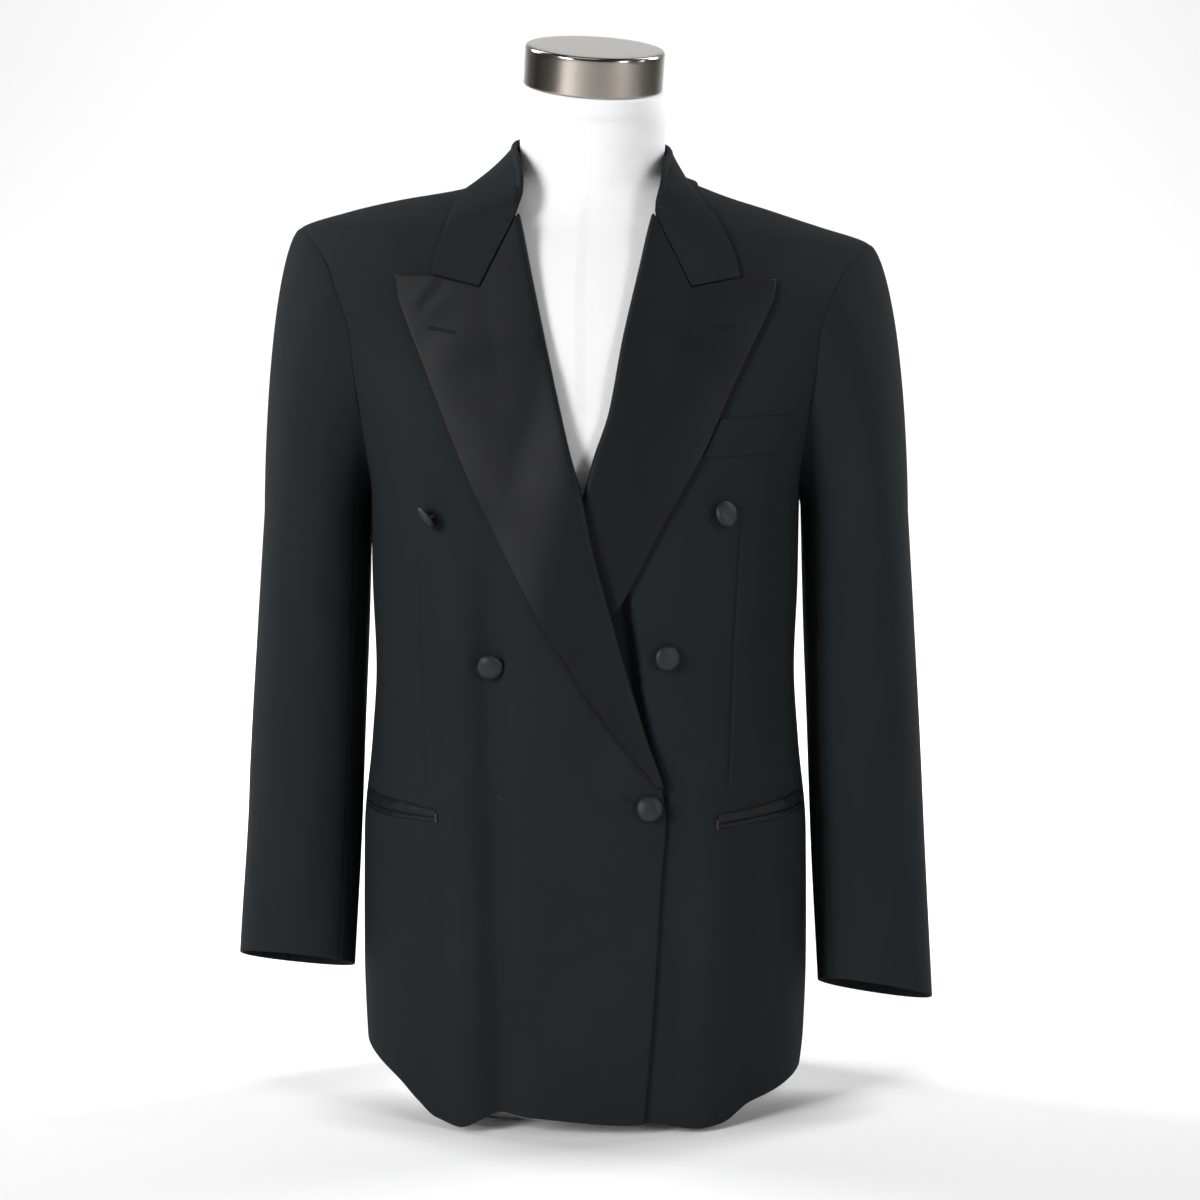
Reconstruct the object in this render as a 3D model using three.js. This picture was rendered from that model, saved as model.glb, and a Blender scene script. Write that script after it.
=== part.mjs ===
// A double-breasted dinner jacket on a limbless dress form whose neck ends in a steel cap.
// Millimetres. +X is the image right, -Y the front, +Z up, and the form stands at z = 0.
// "own" distances run from the middle of the body towards the side that a piece belongs to.
import * as THREE from "three";

// Cloth walls and the gaps between pieces
const CLOTH = 2.0;
const SEAM_GAP = 0.5;
const TRIM = 1.4;
const TRIM_OUT = 2.4;
const LAPEL_OUT = 4.0;

// Small steps over which surface directions are measured
const STEP = { angle: 0.004, height: 0.4, place: 0.5, turn: 0.01, level: 0.004 };

// Sides: the wearer's right front is at the image left and lies on top
const RIGHT = -1;
const LEFT = 1;

// The jacket's body, ring by ring: half width and depths of the middle of the wall
const BODY = [
  { z: 0, width: 187, front: 150, back: 122, power: 2.5 },
  { z: 60, width: 194, front: 152, back: 126, power: 2.5 },
  { z: 130, width: 196, front: 153, back: 128, power: 2.5 },
  { z: 240, width: 195, front: 151, back: 123, power: 2.5 },
  { z: 320, width: 187.5, front: 145, back: 113, power: 2.5 },
  { z: 386, width: 183.5, front: 141, back: 106, power: 2.5 },
  { z: 460, width: 186, front: 143, back: 110, power: 2.5 },
  { z: 535, width: 187, front: 145, back: 118, power: 2.5 },
  { z: 560, width: 191, front: 141, back: 120, power: 2.5 },
  { z: 600, width: 206, front: 132, back: 122, power: 2.5 },
  { z: 667, width: 242, front: 112, back: 118, power: 2.35 },
  { z: 718, width: 261, front: 96, back: 106, power: 2.2 },
  { z: 745, width: 259, front: 87, back: 93, power: 2.0 },
  { z: 765, width: 248, front: 82, back: 79, power: 1.8 },
  { z: 780, width: 205, front: 78, back: 69, power: 1.65 },
  { z: 790, width: 163, front: 75, back: 62, power: 1.6 },
  { z: 798, width: 117, front: 73, back: 59, power: 1.7 },
  { z: 808, width: 78, front: 70, back: 58, power: 2 },
];
const BODY_CENTRE = -1;
const NECK_CENTRE = 5;
const NECK_SHIFT_FROM = 770;
const NECK_Z = 808;
const HEM_BLEND = 160;
const SIDE_BEND_FROM = 300;

// The left shoulder hangs lower than the right one
const SHOULDER_SAG = { depth: 14, fromX: 60, overX: 150, fromZ: 690, overZ: 75 };

// Armhole: an upright oval on the body's side; the side seams meet it at SEAM_Y
const ARMHOLE = { z: 650, height: 115, depth: 74, sleeveInset: 1.15 };
const SEAM_Y = 48;
const SEAM_TOP = ARMHOLE.z - ARMHOLE.height * Math.sqrt(1 - (SEAM_Y / ARMHOLE.depth) ** 2);

// Hem height along x at the front
const HEM = [
  { x: -200, z: 60 }, { x: -176, z: 47 }, { x: -157, z: 35 }, { x: -143, z: 21 }, { x: -127, z: 8 },
  { x: -105, z: 5 }, { x: -74, z: 17.5 }, { x: -40, z: 15 }, { x: 40, z: 9 }, { x: 54, z: 10 },
  { x: 90, z: 4 }, { x: 113, z: 5 }, { x: 141, z: 16 }, { x: 163, z: 24 }, { x: 200, z: 34 },
];
const BACK_HEM = { middle: 44, slope: -0.085 };

// Roll line and free front edge, as own distance, for the top front and the one under it
const FRONT_EDGE = [
  { z: 0, top: -48.5, under: -60 }, { z: 113, top: -57, under: -60 }, { z: 212, top: -62.5, under: -60 },
  { z: 268, top: -66.5, under: -60 }, { z: 291, top: -64, under: -57 }, { z: 341, top: -48, under: -46 },
  { z: 414, top: -27, under: -27 }, { z: 503, top: -3.5, under: -7 }, { z: 535, top: 3, under: -1.5 },
  { z: 571, top: 13.3, under: 8 }, { z: 608, top: 22, under: 20.5 }, { z: 670, top: 35.5, under: 32.4 },
  { z: 728, top: 47.6, under: 46 }, { z: 774, top: 57, under: 57 }, { z: 790, top: 62, under: 63 },
  { z: NECK_Z, top: 67.5, under: 77.5 },
];

// Lapel: outer edge as own distance, then the peak and the seam to the collar
const LAPEL_EDGE = [
  { z: 299, top: -57, under: -52 }, { z: 363, top: -7.4, under: -16 }, { z: 418, top: 26.3, under: 13 },
  { z: 472, top: 56, under: 41 }, { z: 520, top: 81, under: 65.5 }, { z: 571, top: 104, under: 95 },
  { z: 624, top: 125.9, under: 119.5 }, { z: 656, top: 138.8, under: 135 }, { z: 702, top: 157, under: 157.5 },
];
const PEAK = { x: 160, z: 723 };
const GORGE_TOP = { x: 57, z: 774 };
const GORGE_END = { x: 88, z: 712.5 };
const NOTCH = { x: 129, z: 722.5 };
const LAPEL_COLUMNS = [0.12, 0.24, 0.36, 0.486, 0.63, 0.783, 0.89, 1];
const LAPEL_ROWS = 19;
const LAPEL_BOTTOM = 296;
const LAPEL_NARROW = 40;
// Where the tip starts, where rows start to bend up to the gorge, and how far across the corners lie
const LAPEL_SHARES = { tip: 0.97, bend: 0.45, gorgeEnd: 0.486, notch: 0.783 };
const LAPEL_BEND_POWER = 1.5;
// The rolled edge: how far outside the roll line and how far off the front each point lies
const ROLL = [
  { along: 1.4, out: 0 }, { along: 0.2, out: 0.3 }, { along: -0.8, out: 1.9 }, { along: -0.4, out: 3.7 },
  { along: 1.2, out: 4.9 }, { along: 4.5, out: 5.2 },
];
const ROLL_SETBACK = 2.2;
// Past the rolled edge the lapel comes down to this far off the front, after so great a share of its width
const LAPEL_FLAT = { out: 3.7, reached: 0.625 };

// Where the top front climbs over the one under it and over that one's lapel
const OVERLAP = {
  lift: 3.4,
  before: 68,
  over: 56,
  lapelLift: 4.8,
  lapelFrom: 245,
  lapelOver: 40,
  lapelPast: 4,
  lapelFade: 44,
};

// Collar: the fold or gorge and the free edge, from the lapel to the middle of the back
// "down" and "closer" are how much lower it lies, and how much closer its edge, on the wearer's left
const COLLAR = [
  { fx: 88.5, fz: 713.5, ex: 128.8, ez: 723.4, down: 0, closer: 0 },
  { fx: 73.5, fz: 743.8, ex: 126.5, ez: 738, down: 0, closer: 0 },
  { fx: 58.1, fz: 774.6, ex: 121, ez: 754, down: 0, closer: 0 },
  { fx: 58.5, fy: -67, fz: 803, ex: 114, ez: 773, down: 1.5, closer: 3 },
  { fx: 62, fy: -38, fz: 826, ex: 106, ez: 790, down: 3.5, closer: 9 },
  { fx: 65.6, fy: -4, fz: 838, ex: 98, ey: 2, ez: 803, down: 4.5, closer: 13 },
  { fx: 57.7, fy: 34, fz: 845, ex: 82, ey: 40, ez: 801, down: 3.5, closer: 9 },
  { fx: 32, fy: 58, fz: 849, ex: 48, ey: 66, ez: 803, down: 1.5, closer: 3 },
  { fx: 0, fy: 66, fz: 850, ex: 0, ey: 75, ez: 804, down: 0, closer: 0 },
];
const COLLAR_STEP = 2;
const COLLAR_COLUMNS = 6;
const COLLAR_FOLD = [
  { out: 0, up: -4.4 }, { out: 0.1, up: -1.8 }, { out: 1.6, up: 0.5 }, { out: 3.3, up: -1.0 },
  { out: 4.2, up: -4.6 },
];
// From one station to the next, so much further on, the flat lapel end turns into the folded collar
const FOLD_STARTS = { station: 2, over: 0.8 };
const FLAT_STEP = 1.3;
const COLLAR_BOW = 0.6;
const COLLAR_CLEAR = 3.4;
// The stand reaches from the neckline seam to just under the fold
const STAND = { under: 6.2, rows: 5, samples: 25, from: 2.9, lowZ: 788, inward: 2.1, raised: 1.2 };
// By station: where the neckline seam starts to rise and where it leaves the fronts for the back
const NECKLINE = { riseFrom: 2.4, riseOver: 2.6, backFrom: 5, backOver: 3 };

// Sleeve: from the armhole to the ring at ARM_TOP, then down to the cuff
const ARM_TOP = 520;
const SLEEVE = [
  { down: 0, outer: 282, inner: 190.5, front: -74, back: 76 },
  { down: 0.25, outer: 289, inner: 193.5, front: -70, back: 68 },
  { down: 0.47, outer: 294.5, inner: 197, front: -69, back: 55 },
  { down: 0.72, outer: 299.5, inner: 200.5, front: -72, back: 37 },
  { down: 1, outer: 305, inner: 206, front: -77, back: 5 },
];
const SLEEVE_POWER = 2.2;
const SLEEVE_COLUMNS = { top: 15, under: 10 };
// The cuff's slant comes in by this power of the way down
const CUFF_POWER = 1.5;
const CUFFS = [
  { side: RIGHT, z: 125, forward: 0.34, outward: 0.1 },
  { side: LEFT, z: 98, forward: 0.34, outward: -0.16 },
];
// Sleeve head: how far it leaves the armhole sideways, at the top, the middle and the underarm
const HEAD_OUT = { top: 7, middle: 10, under: 3, tuck: 4, forward: 0.15 };
const HEAD_DROP = { middle: 0.55, top: 0.25 };
const HEAD_START = { middle: 1.3, top: -1.4 };
const FRONT_SEAM = 140;
const BACK_SEAM = 285;
const HEAD_LEVELS = [0, 0.1, 0.22, 0.35, 0.5, 0.66, 0.82, 1];
const ARM_LEVELS = [1.15, 1.3, 1.45, 1.6, 1.74, 1.87, 2];

// Soft vertical folds: where they run, how wide they are and how far they stand out
const FOLDS = [
  { front: true, topX: -83, bottomX: -70, top: 575, fade: 170, width: 12, out: -8 },
  { front: true, topX: -108, bottomX: -99, top: 560, fade: 220, width: 17, out: 6.5 },
  { front: true, topX: 110, bottomX: 97, top: 440, fade: 220, width: 19, out: 5.5 },
  { front: true, topX: 150, bottomX: 141, top: 380, fade: 200, width: 15, out: -5 },
  { front: false, topX: -60, bottomX: -78, top: 380, fade: 220, width: 24, out: 5 },
  { front: false, topX: 46, bottomX: 62, top: 400, fade: 220, width: 26, out: 4.5 },
];

// Columns of the top front, by own distance where its folds run
const FOLD_COLUMNS = {
  distances: [56, 65, 71, 76, 81, 86, 92, 99, 107, 116, 128],
  inner: 6,
  outer: 5,
  evenFrom: 560,
  evenOver: 150,
};
FOLD_COLUMNS.count = FOLD_COLUMNS.inner + FOLD_COLUMNS.distances.length + FOLD_COLUMNS.outer;
const UNDER_COLUMNS = { count: 13, closer: 1.2 };
const BACK_COLUMNS = 9;

// Pockets
const HIP_POCKET = { slit: 0.9, seamClear: 3, columns: 9, widens: 1.6 };
const HIP_POCKETS = [
  { side: RIGHT, inner: 126, z: 268.4, rise: 1.9 },
  { side: LEFT, inner: 109, z: 264.8, rise: 5.5 },
];
const JETS = { upper: { inner: 6.4, outer: 9.6 }, lower: { inner: 3.2, outer: 5.2 } };
const CHEST_WELT = {
  top: 604,
  bottom: 572,
  outerTop: 173,
  outerBottom: 168,
  clear: 0.9,
  slope: 2.5,
  columns: 6,
};
const STRIP_ROWS = 3;

// Buttons, by where their centre lies on the front and how far each leans on its thread, as a slope
const BUTTON = { radius: 11, height: 6.5, rim: 1.6, inset: 1.5, segments: 16, seat: 0.5, passes: 3 };
const BUTTONS = [
  { name: "button_upper_right", side: RIGHT, x: -127, z: 523, leanX: -0.85, leanZ: -0.85 },
  { name: "button_upper_left", side: LEFT, x: 114.6, z: 525.5, leanX: 0.2, leanZ: 0.24 },
  { name: "button_middle_right", side: RIGHT, x: -78, z: 398, leanX: 0.3, leanZ: -0.34 },
  { name: "button_middle_left", side: LEFT, x: 67, z: 406, leanX: 0.2, leanZ: -0.04 },
  { name: "button_fastened", side: RIGHT, x: 52.5, z: 280, leanX: -0.12, leanZ: 0.05 },
];

// Dress form: shoulders, chest and hips under the cloth, then the neck
const FORM = [
  { z: 0, width: 150, front: 112, back: 98, x: 0, y: 0, power: 2.3 },
  { z: 50, width: 158, front: 118, back: 103, x: 0, y: 0, power: 2.3 },
  { z: 150, width: 163, front: 121, back: 107, x: 0, y: 0, power: 2.3 },
  { z: 280, width: 156, front: 116, back: 98, x: 0, y: 0, power: 2.3 },
  { z: 400, width: 142, front: 110, back: 88, x: 0, y: 0, power: 2.3 },
  { z: 500, width: 158, front: 127, back: 98, x: 0, y: 0, power: 2.3 },
  { z: 570, width: 170, front: 133, back: 106, x: 0, y: 0, power: 2.3 },
  { z: 640, width: 179, front: 115, back: 107, x: 0, y: 0, power: 2.3 },
  { z: 700, width: 184, front: 97.5, back: 100, x: 0, y: 0, power: 2.2 },
  { z: 742, width: 181, front: 80, back: 84, x: 1, y: 0, power: 2.1 },
  { z: 769, width: 167, front: 65, back: 68, x: 2, y: 0, power: 1.85 },
  { z: 784.8, width: 141, front: 60, back: 57, x: 3, y: 1, power: 1.7 },
  { z: 794.8, width: 114, front: 58, back: 53, x: 4, y: 1, power: 1.7 },
  { z: 802.4, width: 86, front: 58, back: 49, x: 5, y: 2, power: 1.8 },
  { z: 812, width: 66, front: 58, back: 50, x: 6, y: 2, power: 2 },
  { z: 826, width: 63, front: 57, back: 55, x: 5.5, y: 1, power: 2 },
  { z: 842, width: 63.2, front: 57, back: 56, x: 5.5, y: -1, power: 2 },
  { z: 856, width: 64.2, front: 57.5, back: 57, x: 5.7, y: -3, power: 2 },
  { z: 872, width: 63.2, front: 58.5, back: 58.5, x: 6, y: -6, power: 2 },
  { z: 887.4, width: 61, front: 58.8, back: 58.8, x: 6, y: -10.5, power: 2 },
];
const FORM_SEGMENTS = 32;
const FORM_STEP = 60;
const NECK_TILT = { from: 845, over: 35, forward: 0.27, side: -0.06 };
const CAP = { radius: 60.3, height: 34, edge: 3, chamfer: 0.6, gap: 0.4, segments: 30 };

const smooth = (t) => {
  const c = Math.min(1, Math.max(0, t));
  return c * c * (3 - 2 * c);
};
const mix = (a, b, t) => a + (b - a) * t;

// The value of one column of a table at a place along another, without overshoot between rows
function along(table, input, at, column) {
  const last = table.length - 1;
  if (at <= table[0][input]) return table[0][column];
  if (at >= table[last][input]) return table[last][column];
  let k = 0;
  while (at > table[k + 1][input]) k += 1;
  const slope = (i) => (table[i + 1][column] - table[i][column]) / (table[i + 1][input] - table[i][input]);
  const tangent = (i) => {
    if (i === 0) return slope(0);
    if (i === last) return slope(last - 1);
    const a = slope(i - 1);
    const b = slope(i);
    return a * b > 0 ? (2 * a * b) / (a + b) : 0;
  };
  const step = table[k + 1][input] - table[k][input];
  const t = (at - table[k][input]) / step;
  const rise = table[k + 1][column] - table[k][column];
  const a = tangent(k) * step - rise;
  const b = rise - tangent(k + 1) * step;
  return table[k][column] + t * rise + t * (1 - t) * (a * (1 - t) + b * t);
}

// One ring of a table: the point at an angle from the front (0) over the side (90 degrees) to the back
function ringPoint(table, centreX, centreY, side, angle, z) {
  const power = along(table, "z", z, "power");
  const s = Math.sin(angle);
  const c = Math.cos(angle);
  const reach = (Math.abs(s) ** power + Math.abs(c) ** power) ** (-1 / power);
  const depth = along(table, "z", z, c > 0 ? "front" : "back");
  const x = centreX + side * along(table, "z", z, "width") * reach * s;
  return new THREE.Vector3(x, centreY - depth * reach * c, z);
}

function sag(point) {
  const s = SHOULDER_SAG;
  const drop = s.depth * smooth((point.x - s.fromX) / s.overX) * smooth((point.z - s.fromZ) / s.overZ);
  return new THREE.Vector3(point.x, point.y, point.z - drop);
}

const neckShare = (z) => smooth((z - NECK_SHIFT_FROM) / (NECK_Z - NECK_SHIFT_FROM));
const bodyCentre = (z) => mix(BODY_CENTRE, NECK_CENTRE, neckShare(z));
const bodyBase = (side, angle, z) => sag(ringPoint(BODY, bodyCentre(z), 0, side, angle, z));

// The angle at which a ring reaches an own distance x, or a depth y
function angleAtX(side, x, z) {
  const power = along(BODY, "z", z, "power");
  const reach = (x - side * bodyCentre(z)) / along(BODY, "z", z, "width");
  const s = Math.min(1, Math.abs(reach));
  return Math.sign(reach) * Math.atan2(s, (1 - s ** power) ** (1 / power));
}
function angleAtY(y, z) {
  const power = along(BODY, "z", z, "power");
  const c = Math.min(1, Math.abs(y) / along(BODY, "z", z, y < 0 ? "front" : "back"));
  const angle = Math.atan2((1 - c ** power) ** (1 / power), c);
  return y < 0 ? angle : Math.PI - angle;
}

function foldHeight(point) {
  let height = 0;
  for (const fold of FOLDS) {
    if (fold.front !== point.y < 0) continue;
    const x = mix(fold.bottomX, fold.topX, point.z / fold.top);
    const reach = Math.exp(-(((point.x - x) / fold.width) ** 2));
    height += fold.out * reach * smooth((fold.top - point.z) / fold.fade);
  }
  return height;
}

// A point of the body's wall, moved out along the surface's normal
function bodyPoint(side, angle, z, out) {
  const base = bodyBase(side, angle, z);
  const around = bodyBase(side, angle + STEP.angle, z).sub(bodyBase(side, angle - STEP.angle, z));
  const up = bodyBase(side, angle, z + STEP.height).sub(bodyBase(side, angle, z - STEP.height));
  const normal = around.cross(up).multiplyScalar(side).normalize();
  return base.addScaledVector(normal, out + foldHeight(base));
}
const onFront = (side, x, z, out) => bodyPoint(side, angleAtX(side, x, z), z, out);

// How far the top front is lifted by what lies under it
function topLift(x, z) {
  const edge = along(FRONT_EDGE, "z", z, "under");
  const rise = smooth((x - edge + OVERLAP.before) / OVERLAP.over);
  const lapelEdge = along(LAPEL_EDGE, "z", z, "under");
  const overLapel = smooth((z - OVERLAP.lapelFrom) / OVERLAP.lapelOver)
    * (1 - smooth((x - lapelEdge - OVERLAP.lapelPast) / OVERLAP.lapelFade));
  return rise * (OVERLAP.lift + OVERLAP.lapelLift * overLapel);
}

// Height of the body's middle surface over a place near the neck
function bodyTop(x, y) {
  let low = ARMHOLE.z;
  let high = NECK_Z;
  for (let pass = 0; pass < 30; pass += 1) {
    const z = (low + high) / 2;
    const power = along(BODY, "z", z, "power");
    const across = Math.abs(x - bodyCentre(z)) / along(BODY, "z", z, "width");
    const deep = Math.abs(y) / along(BODY, "z", z, y < 0 ? "front" : "back");
    if (across ** power + deep ** power > 1) high = z;
    else low = z;
  }
  return sag(new THREE.Vector3(x, y, low)).z;
}
// Moves a point off the body's wall until it lies clear of the wall's middle
function liftOffBody(point, clear) {
  const height = bodyTop(point.x, point.y);
  const half = STEP.place;
  const slopeX = (bodyTop(point.x + half, point.y) - bodyTop(point.x - half, point.y)) / (2 * half);
  const slopeY = (bodyTop(point.x, point.y + half) - bodyTop(point.x, point.y - half)) / (2 * half);
  const normal = new THREE.Vector3(-slopeX, -slopeY, 1).normalize();
  const distance = (point.z - height) * normal.z;
  return distance < clear ? point.addScaledVector(normal, clear - distance) : point;
}

function hemAt(x, front) {
  return front ? along(HEM, "x", x, "z") : BACK_HEM.middle + BACK_HEM.slope * x;
}
// Rows near the hem follow its line
function rowHeight(side, angle, z) {
  if (z >= HEM_BLEND) return z;
  const base = bodyBase(side, angle, z);
  return z + hemAt(base.x, base.y < 0) * (1 - z / HEM_BLEND);
}

// A closed wall over a grid; layer(i, j, out) is the point that lies "out" off the middle surface
function wallGeometry(rows, columns, layer, thickness) {
  const positions = [];
  const index = [];
  for (const out of [thickness / 2, -thickness / 2]) {
    for (let i = 0; i < rows; i += 1) {
      for (let j = 0; j < columns; j += 1) positions.push(...layer(i, j, out).toArray());
    }
  }
  const inner = rows * columns;
  const at = (i, j) => i * columns + j;
  const quad = (a, b, c, d) => index.push(a, b, c, a, c, d);
  for (let i = 0; i < rows - 1; i += 1) {
    for (let j = 0; j < columns - 1; j += 1) {
      quad(at(i, j), at(i, j + 1), at(i + 1, j + 1), at(i + 1, j));
      quad(inner + at(i, j), inner + at(i + 1, j), inner + at(i + 1, j + 1), inner + at(i, j + 1));
    }
  }
  const edge = [];
  for (let j = 0; j < columns; j += 1) edge.push(at(0, j));
  for (let i = 1; i < rows; i += 1) edge.push(at(i, columns - 1));
  for (let j = columns - 2; j >= 0; j -= 1) edge.push(at(rows - 1, j));
  for (let i = rows - 2; i > 0; i -= 1) edge.push(at(i, 0));
  edge.forEach((a, k) => {
    const b = edge[(k + 1) % edge.length];
    quad(a, inner + a, inner + b, b);
  });
  return closedGeometry(positions, index);
}

// A geometry from positions and triangles, turned so that its faces point out
function closedGeometry(positions, index) {
  const corner = (k) => new THREE.Vector3().fromArray(positions, 3 * index[k]);
  let volume = 0;
  for (let k = 0; k < index.length; k += 3) volume += corner(k).dot(corner(k + 1).cross(corner(k + 2)));
  const turned = [];
  for (let k = 0; k < index.length; k += 3) {
    const [a, b, c] = index.slice(k, k + 3);
    turned.push(a, volume > 0 ? b : c, volume > 0 ? c : b);
  }
  const geometry = new THREE.BufferGeometry();
  geometry.setAttribute("position", new THREE.Float32BufferAttribute(positions, 3));
  geometry.setIndex(turned);
  geometry.computeVertexNormals();
  return geometry;
}

// A wall through a grid of middle points, with normals taken from the grid itself
function gridWall(grid, thickness) {
  const rows = grid.length;
  const columns = grid[0].length;
  const step = (a, b) => b.clone().sub(a).normalize();
  const tangent = (list, k) => {
    const before = k > 0 ? step(list[k - 1], list[k]) : new THREE.Vector3();
    const after = k < list.length - 1 ? step(list[k], list[k + 1]) : new THREE.Vector3();
    return before.add(after).normalize();
  };
  const normals = grid.map((row, i) => row.map((point, j) => {
    const down = tangent(grid.map((line) => line[j]), i);
    return tangent(row, j).cross(down).normalize();
  }));
  const layer = (i, j, out) => grid[i][j].clone().addScaledVector(normals[i][j], out);
  return wallGeometry(rows, columns, layer, thickness);
}

const spread = (count, from, to) => Array.from({ length: count }, (_, k) => mix(from, to, k / (count - 1)));
const SIDE_ROWS = spread(16, 0, SEAM_TOP);
const SEAM_TURN = Math.acos((SEAM_TOP - ARMHOLE.z) / ARMHOLE.height);
const ARM_TURNS = spread(9, SEAM_TURN, 0).slice(1);
const ARM_ROWS = ARM_TURNS.map((turn) => ARMHOLE.z + ARMHOLE.height * Math.cos(turn));
const SHOULDER_ROWS = [773, 781, 789, 796, 802, NECK_Z];
const PANEL_ROWS = [...SIDE_ROWS, ...ARM_ROWS, ...SHOULDER_ROWS];

// Depth of the armhole's edge, or of the side seam below it and the shoulder seam above it
function panelSideDepth(z) {
  if (z <= SEAM_TOP) return SEAM_Y;
  const rise = Math.min(1, (z - ARMHOLE.z) / ARMHOLE.height);
  return ARMHOLE.depth * Math.sqrt(Math.max(0, 1 - rise * rise)) + SEAM_GAP / 2;
}

// Column angles of the top front: close together along its folds, and evenly spread above them
function topColumns(z, from, to) {
  const { distances, inner, outer, evenFrom, evenOver } = FOLD_COLUMNS;
  const folds = distances.map((x) => angleAtX(RIGHT, x, z));
  const angles = [
    ...spread(inner + 1, from, folds[0]).slice(0, -1),
    ...folds,
    ...spread(outer + 1, folds[folds.length - 1], to).slice(1),
  ];
  const even = smooth((z - evenFrom) / evenOver);
  return angles.map((angle, j) => mix(angle, mix(from, to, j / (angles.length - 1)), even));
}

function frontPanel(side) {
  const top = side === RIGHT;
  const columns = top ? FOLD_COLUMNS.count : UNDER_COLUMNS.count;
  const layer = (i, j, out) => {
    const z = PANEL_ROWS[i];
    const setback = z > LAPEL_BOTTOM ? ROLL_SETBACK : 0;
    const edge = along(FRONT_EDGE, "z", z, top ? "top" : "under") + setback;
    const from = angleAtX(side, edge, z);
    const to = angleAtY(-panelSideDepth(z) - SEAM_GAP / 2, z);
    const share = (j / (columns - 1)) ** UNDER_COLUMNS.closer;
    const angle = top ? topColumns(z, from, to)[j] : mix(from, to, share);
    const height = rowHeight(side, angle, z);
    const lift = top ? topLift(bodyBase(side, angle, height).x, height) : 0;
    return bodyPoint(side, angle, height, out + lift);
  };
  return wallGeometry(PANEL_ROWS.length, columns, layer, CLOTH);
}

function backPanel(side) {
  const layer = (i, j, out) => {
    const z = PANEL_ROWS[i];
    const from = angleAtY(panelSideDepth(z) + SEAM_GAP / 2, z);
    const to = Math.PI - SEAM_GAP / 2 / along(BODY, "z", z, "width");
    const angle = mix(from, to, j / (BACK_COLUMNS - 1));
    return bodyPoint(side, angle, rowHeight(side, angle, z), out);
  };
  return wallGeometry(PANEL_ROWS.length, BACK_COLUMNS, layer, CLOTH);
}

function sidePanel(side) {
  const depths = spread(7, -SEAM_Y + SEAM_GAP / 2, SEAM_Y - SEAM_GAP / 2);
  const layer = (i, j, out) => {
    const y = depths[j];
    const top = ARMHOLE.z - ARMHOLE.height * Math.sqrt(1 - (y / ARMHOLE.depth) ** 2);
    const bend = smooth((SIDE_ROWS[i] - SIDE_BEND_FROM) / (SEAM_TOP - SIDE_BEND_FROM));
    const z = SIDE_ROWS[i] + (top - SEAM_TOP) * bend;
    const angle = angleAtY(y, z);
    return bodyPoint(side, angle, rowHeight(side, angle, z), out);
  };
  return wallGeometry(SIDE_ROWS.length, depths.length, layer, CLOTH);
}

// One point of a lapel in own distance and height: across from the roll line, up from the button
function lapelPlace(column, across, up) {
  const z = mix(LAPEL_BOTTOM, GORGE_TOP.z, up);
  const roll = { x: along(FRONT_EDGE, "z", z, column), z };
  const { tip: tipFrom, bend: bendFrom, gorgeEnd, notch } = LAPEL_SHARES;
  const edgeZ = mix(LAPEL_EDGE[0].z, LAPEL_EDGE[LAPEL_EDGE.length - 1].z, Math.min(1, up / tipFrom));
  const tip = smooth((up - tipFrom) / (1 - tipFrom));
  const edge = {
    x: mix(along(LAPEL_EDGE, "z", edgeZ, column), PEAK.x, tip),
    z: mix(edgeZ, PEAK.z, tip),
  };
  const rollTop = { x: along(FRONT_EDGE, "z", GORGE_TOP.z, column), z: GORGE_TOP.z };
  const corners = [
    { at: 0, ...rollTop }, { at: gorgeEnd, ...GORGE_END }, { at: notch, ...NOTCH }, { at: 1, ...PEAK },
  ];
  let k = 0;
  while (k < 2 && across > corners[k + 1].at) k += 1;
  const t = (across - corners[k].at) / (corners[k + 1].at - corners[k].at);
  const bend = smooth((up - bendFrom) / (1 - bendFrom)) ** LAPEL_BEND_POWER;
  const bendX = mix(corners[k].x, corners[k + 1].x, t) - mix(rollTop.x, PEAK.x, across);
  const bendZ = mix(corners[k].z, corners[k + 1].z, t) - mix(rollTop.z, PEAK.z, across);
  return { x: mix(roll.x, edge.x, across) + bend * bendX, z: mix(roll.z, edge.z, across) + bend * bendZ };
}

function lapel(side) {
  const top = side === RIGHT;
  const column = top ? "top" : "under";
  const grid = spread(LAPEL_ROWS, 0, 1).map((up) => {
    const roll = lapelPlace(column, 0, up);
    const far = lapelPlace(column, 1, up);
    const width = Math.hypot(far.x - roll.x, far.z - roll.z);
    const squeeze = Math.min(1, width / LAPEL_NARROW);
    const place = (x, z, out) => onFront(side, x, z, out + (top ? topLift(-x, z) : 0));
    const rolled = ROLL.map((row) => {
      const near = lapelPlace(column, Math.max(0, row.along * squeeze) / width, up);
      return place(near.x + Math.min(0, row.along), near.z, row.out);
    });
    const flat = LAPEL_COLUMNS.map((across) => {
      const spot = lapelPlace(column, across, up);
      const down = smooth(across / LAPEL_FLAT.reached);
      return place(spot.x, spot.z, mix(ROLL[ROLL.length - 1].out, LAPEL_FLAT.out, down));
    });
    return [...rolled, ...flat];
  });
  return gridWall(grid, CLOTH);
}

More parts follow.
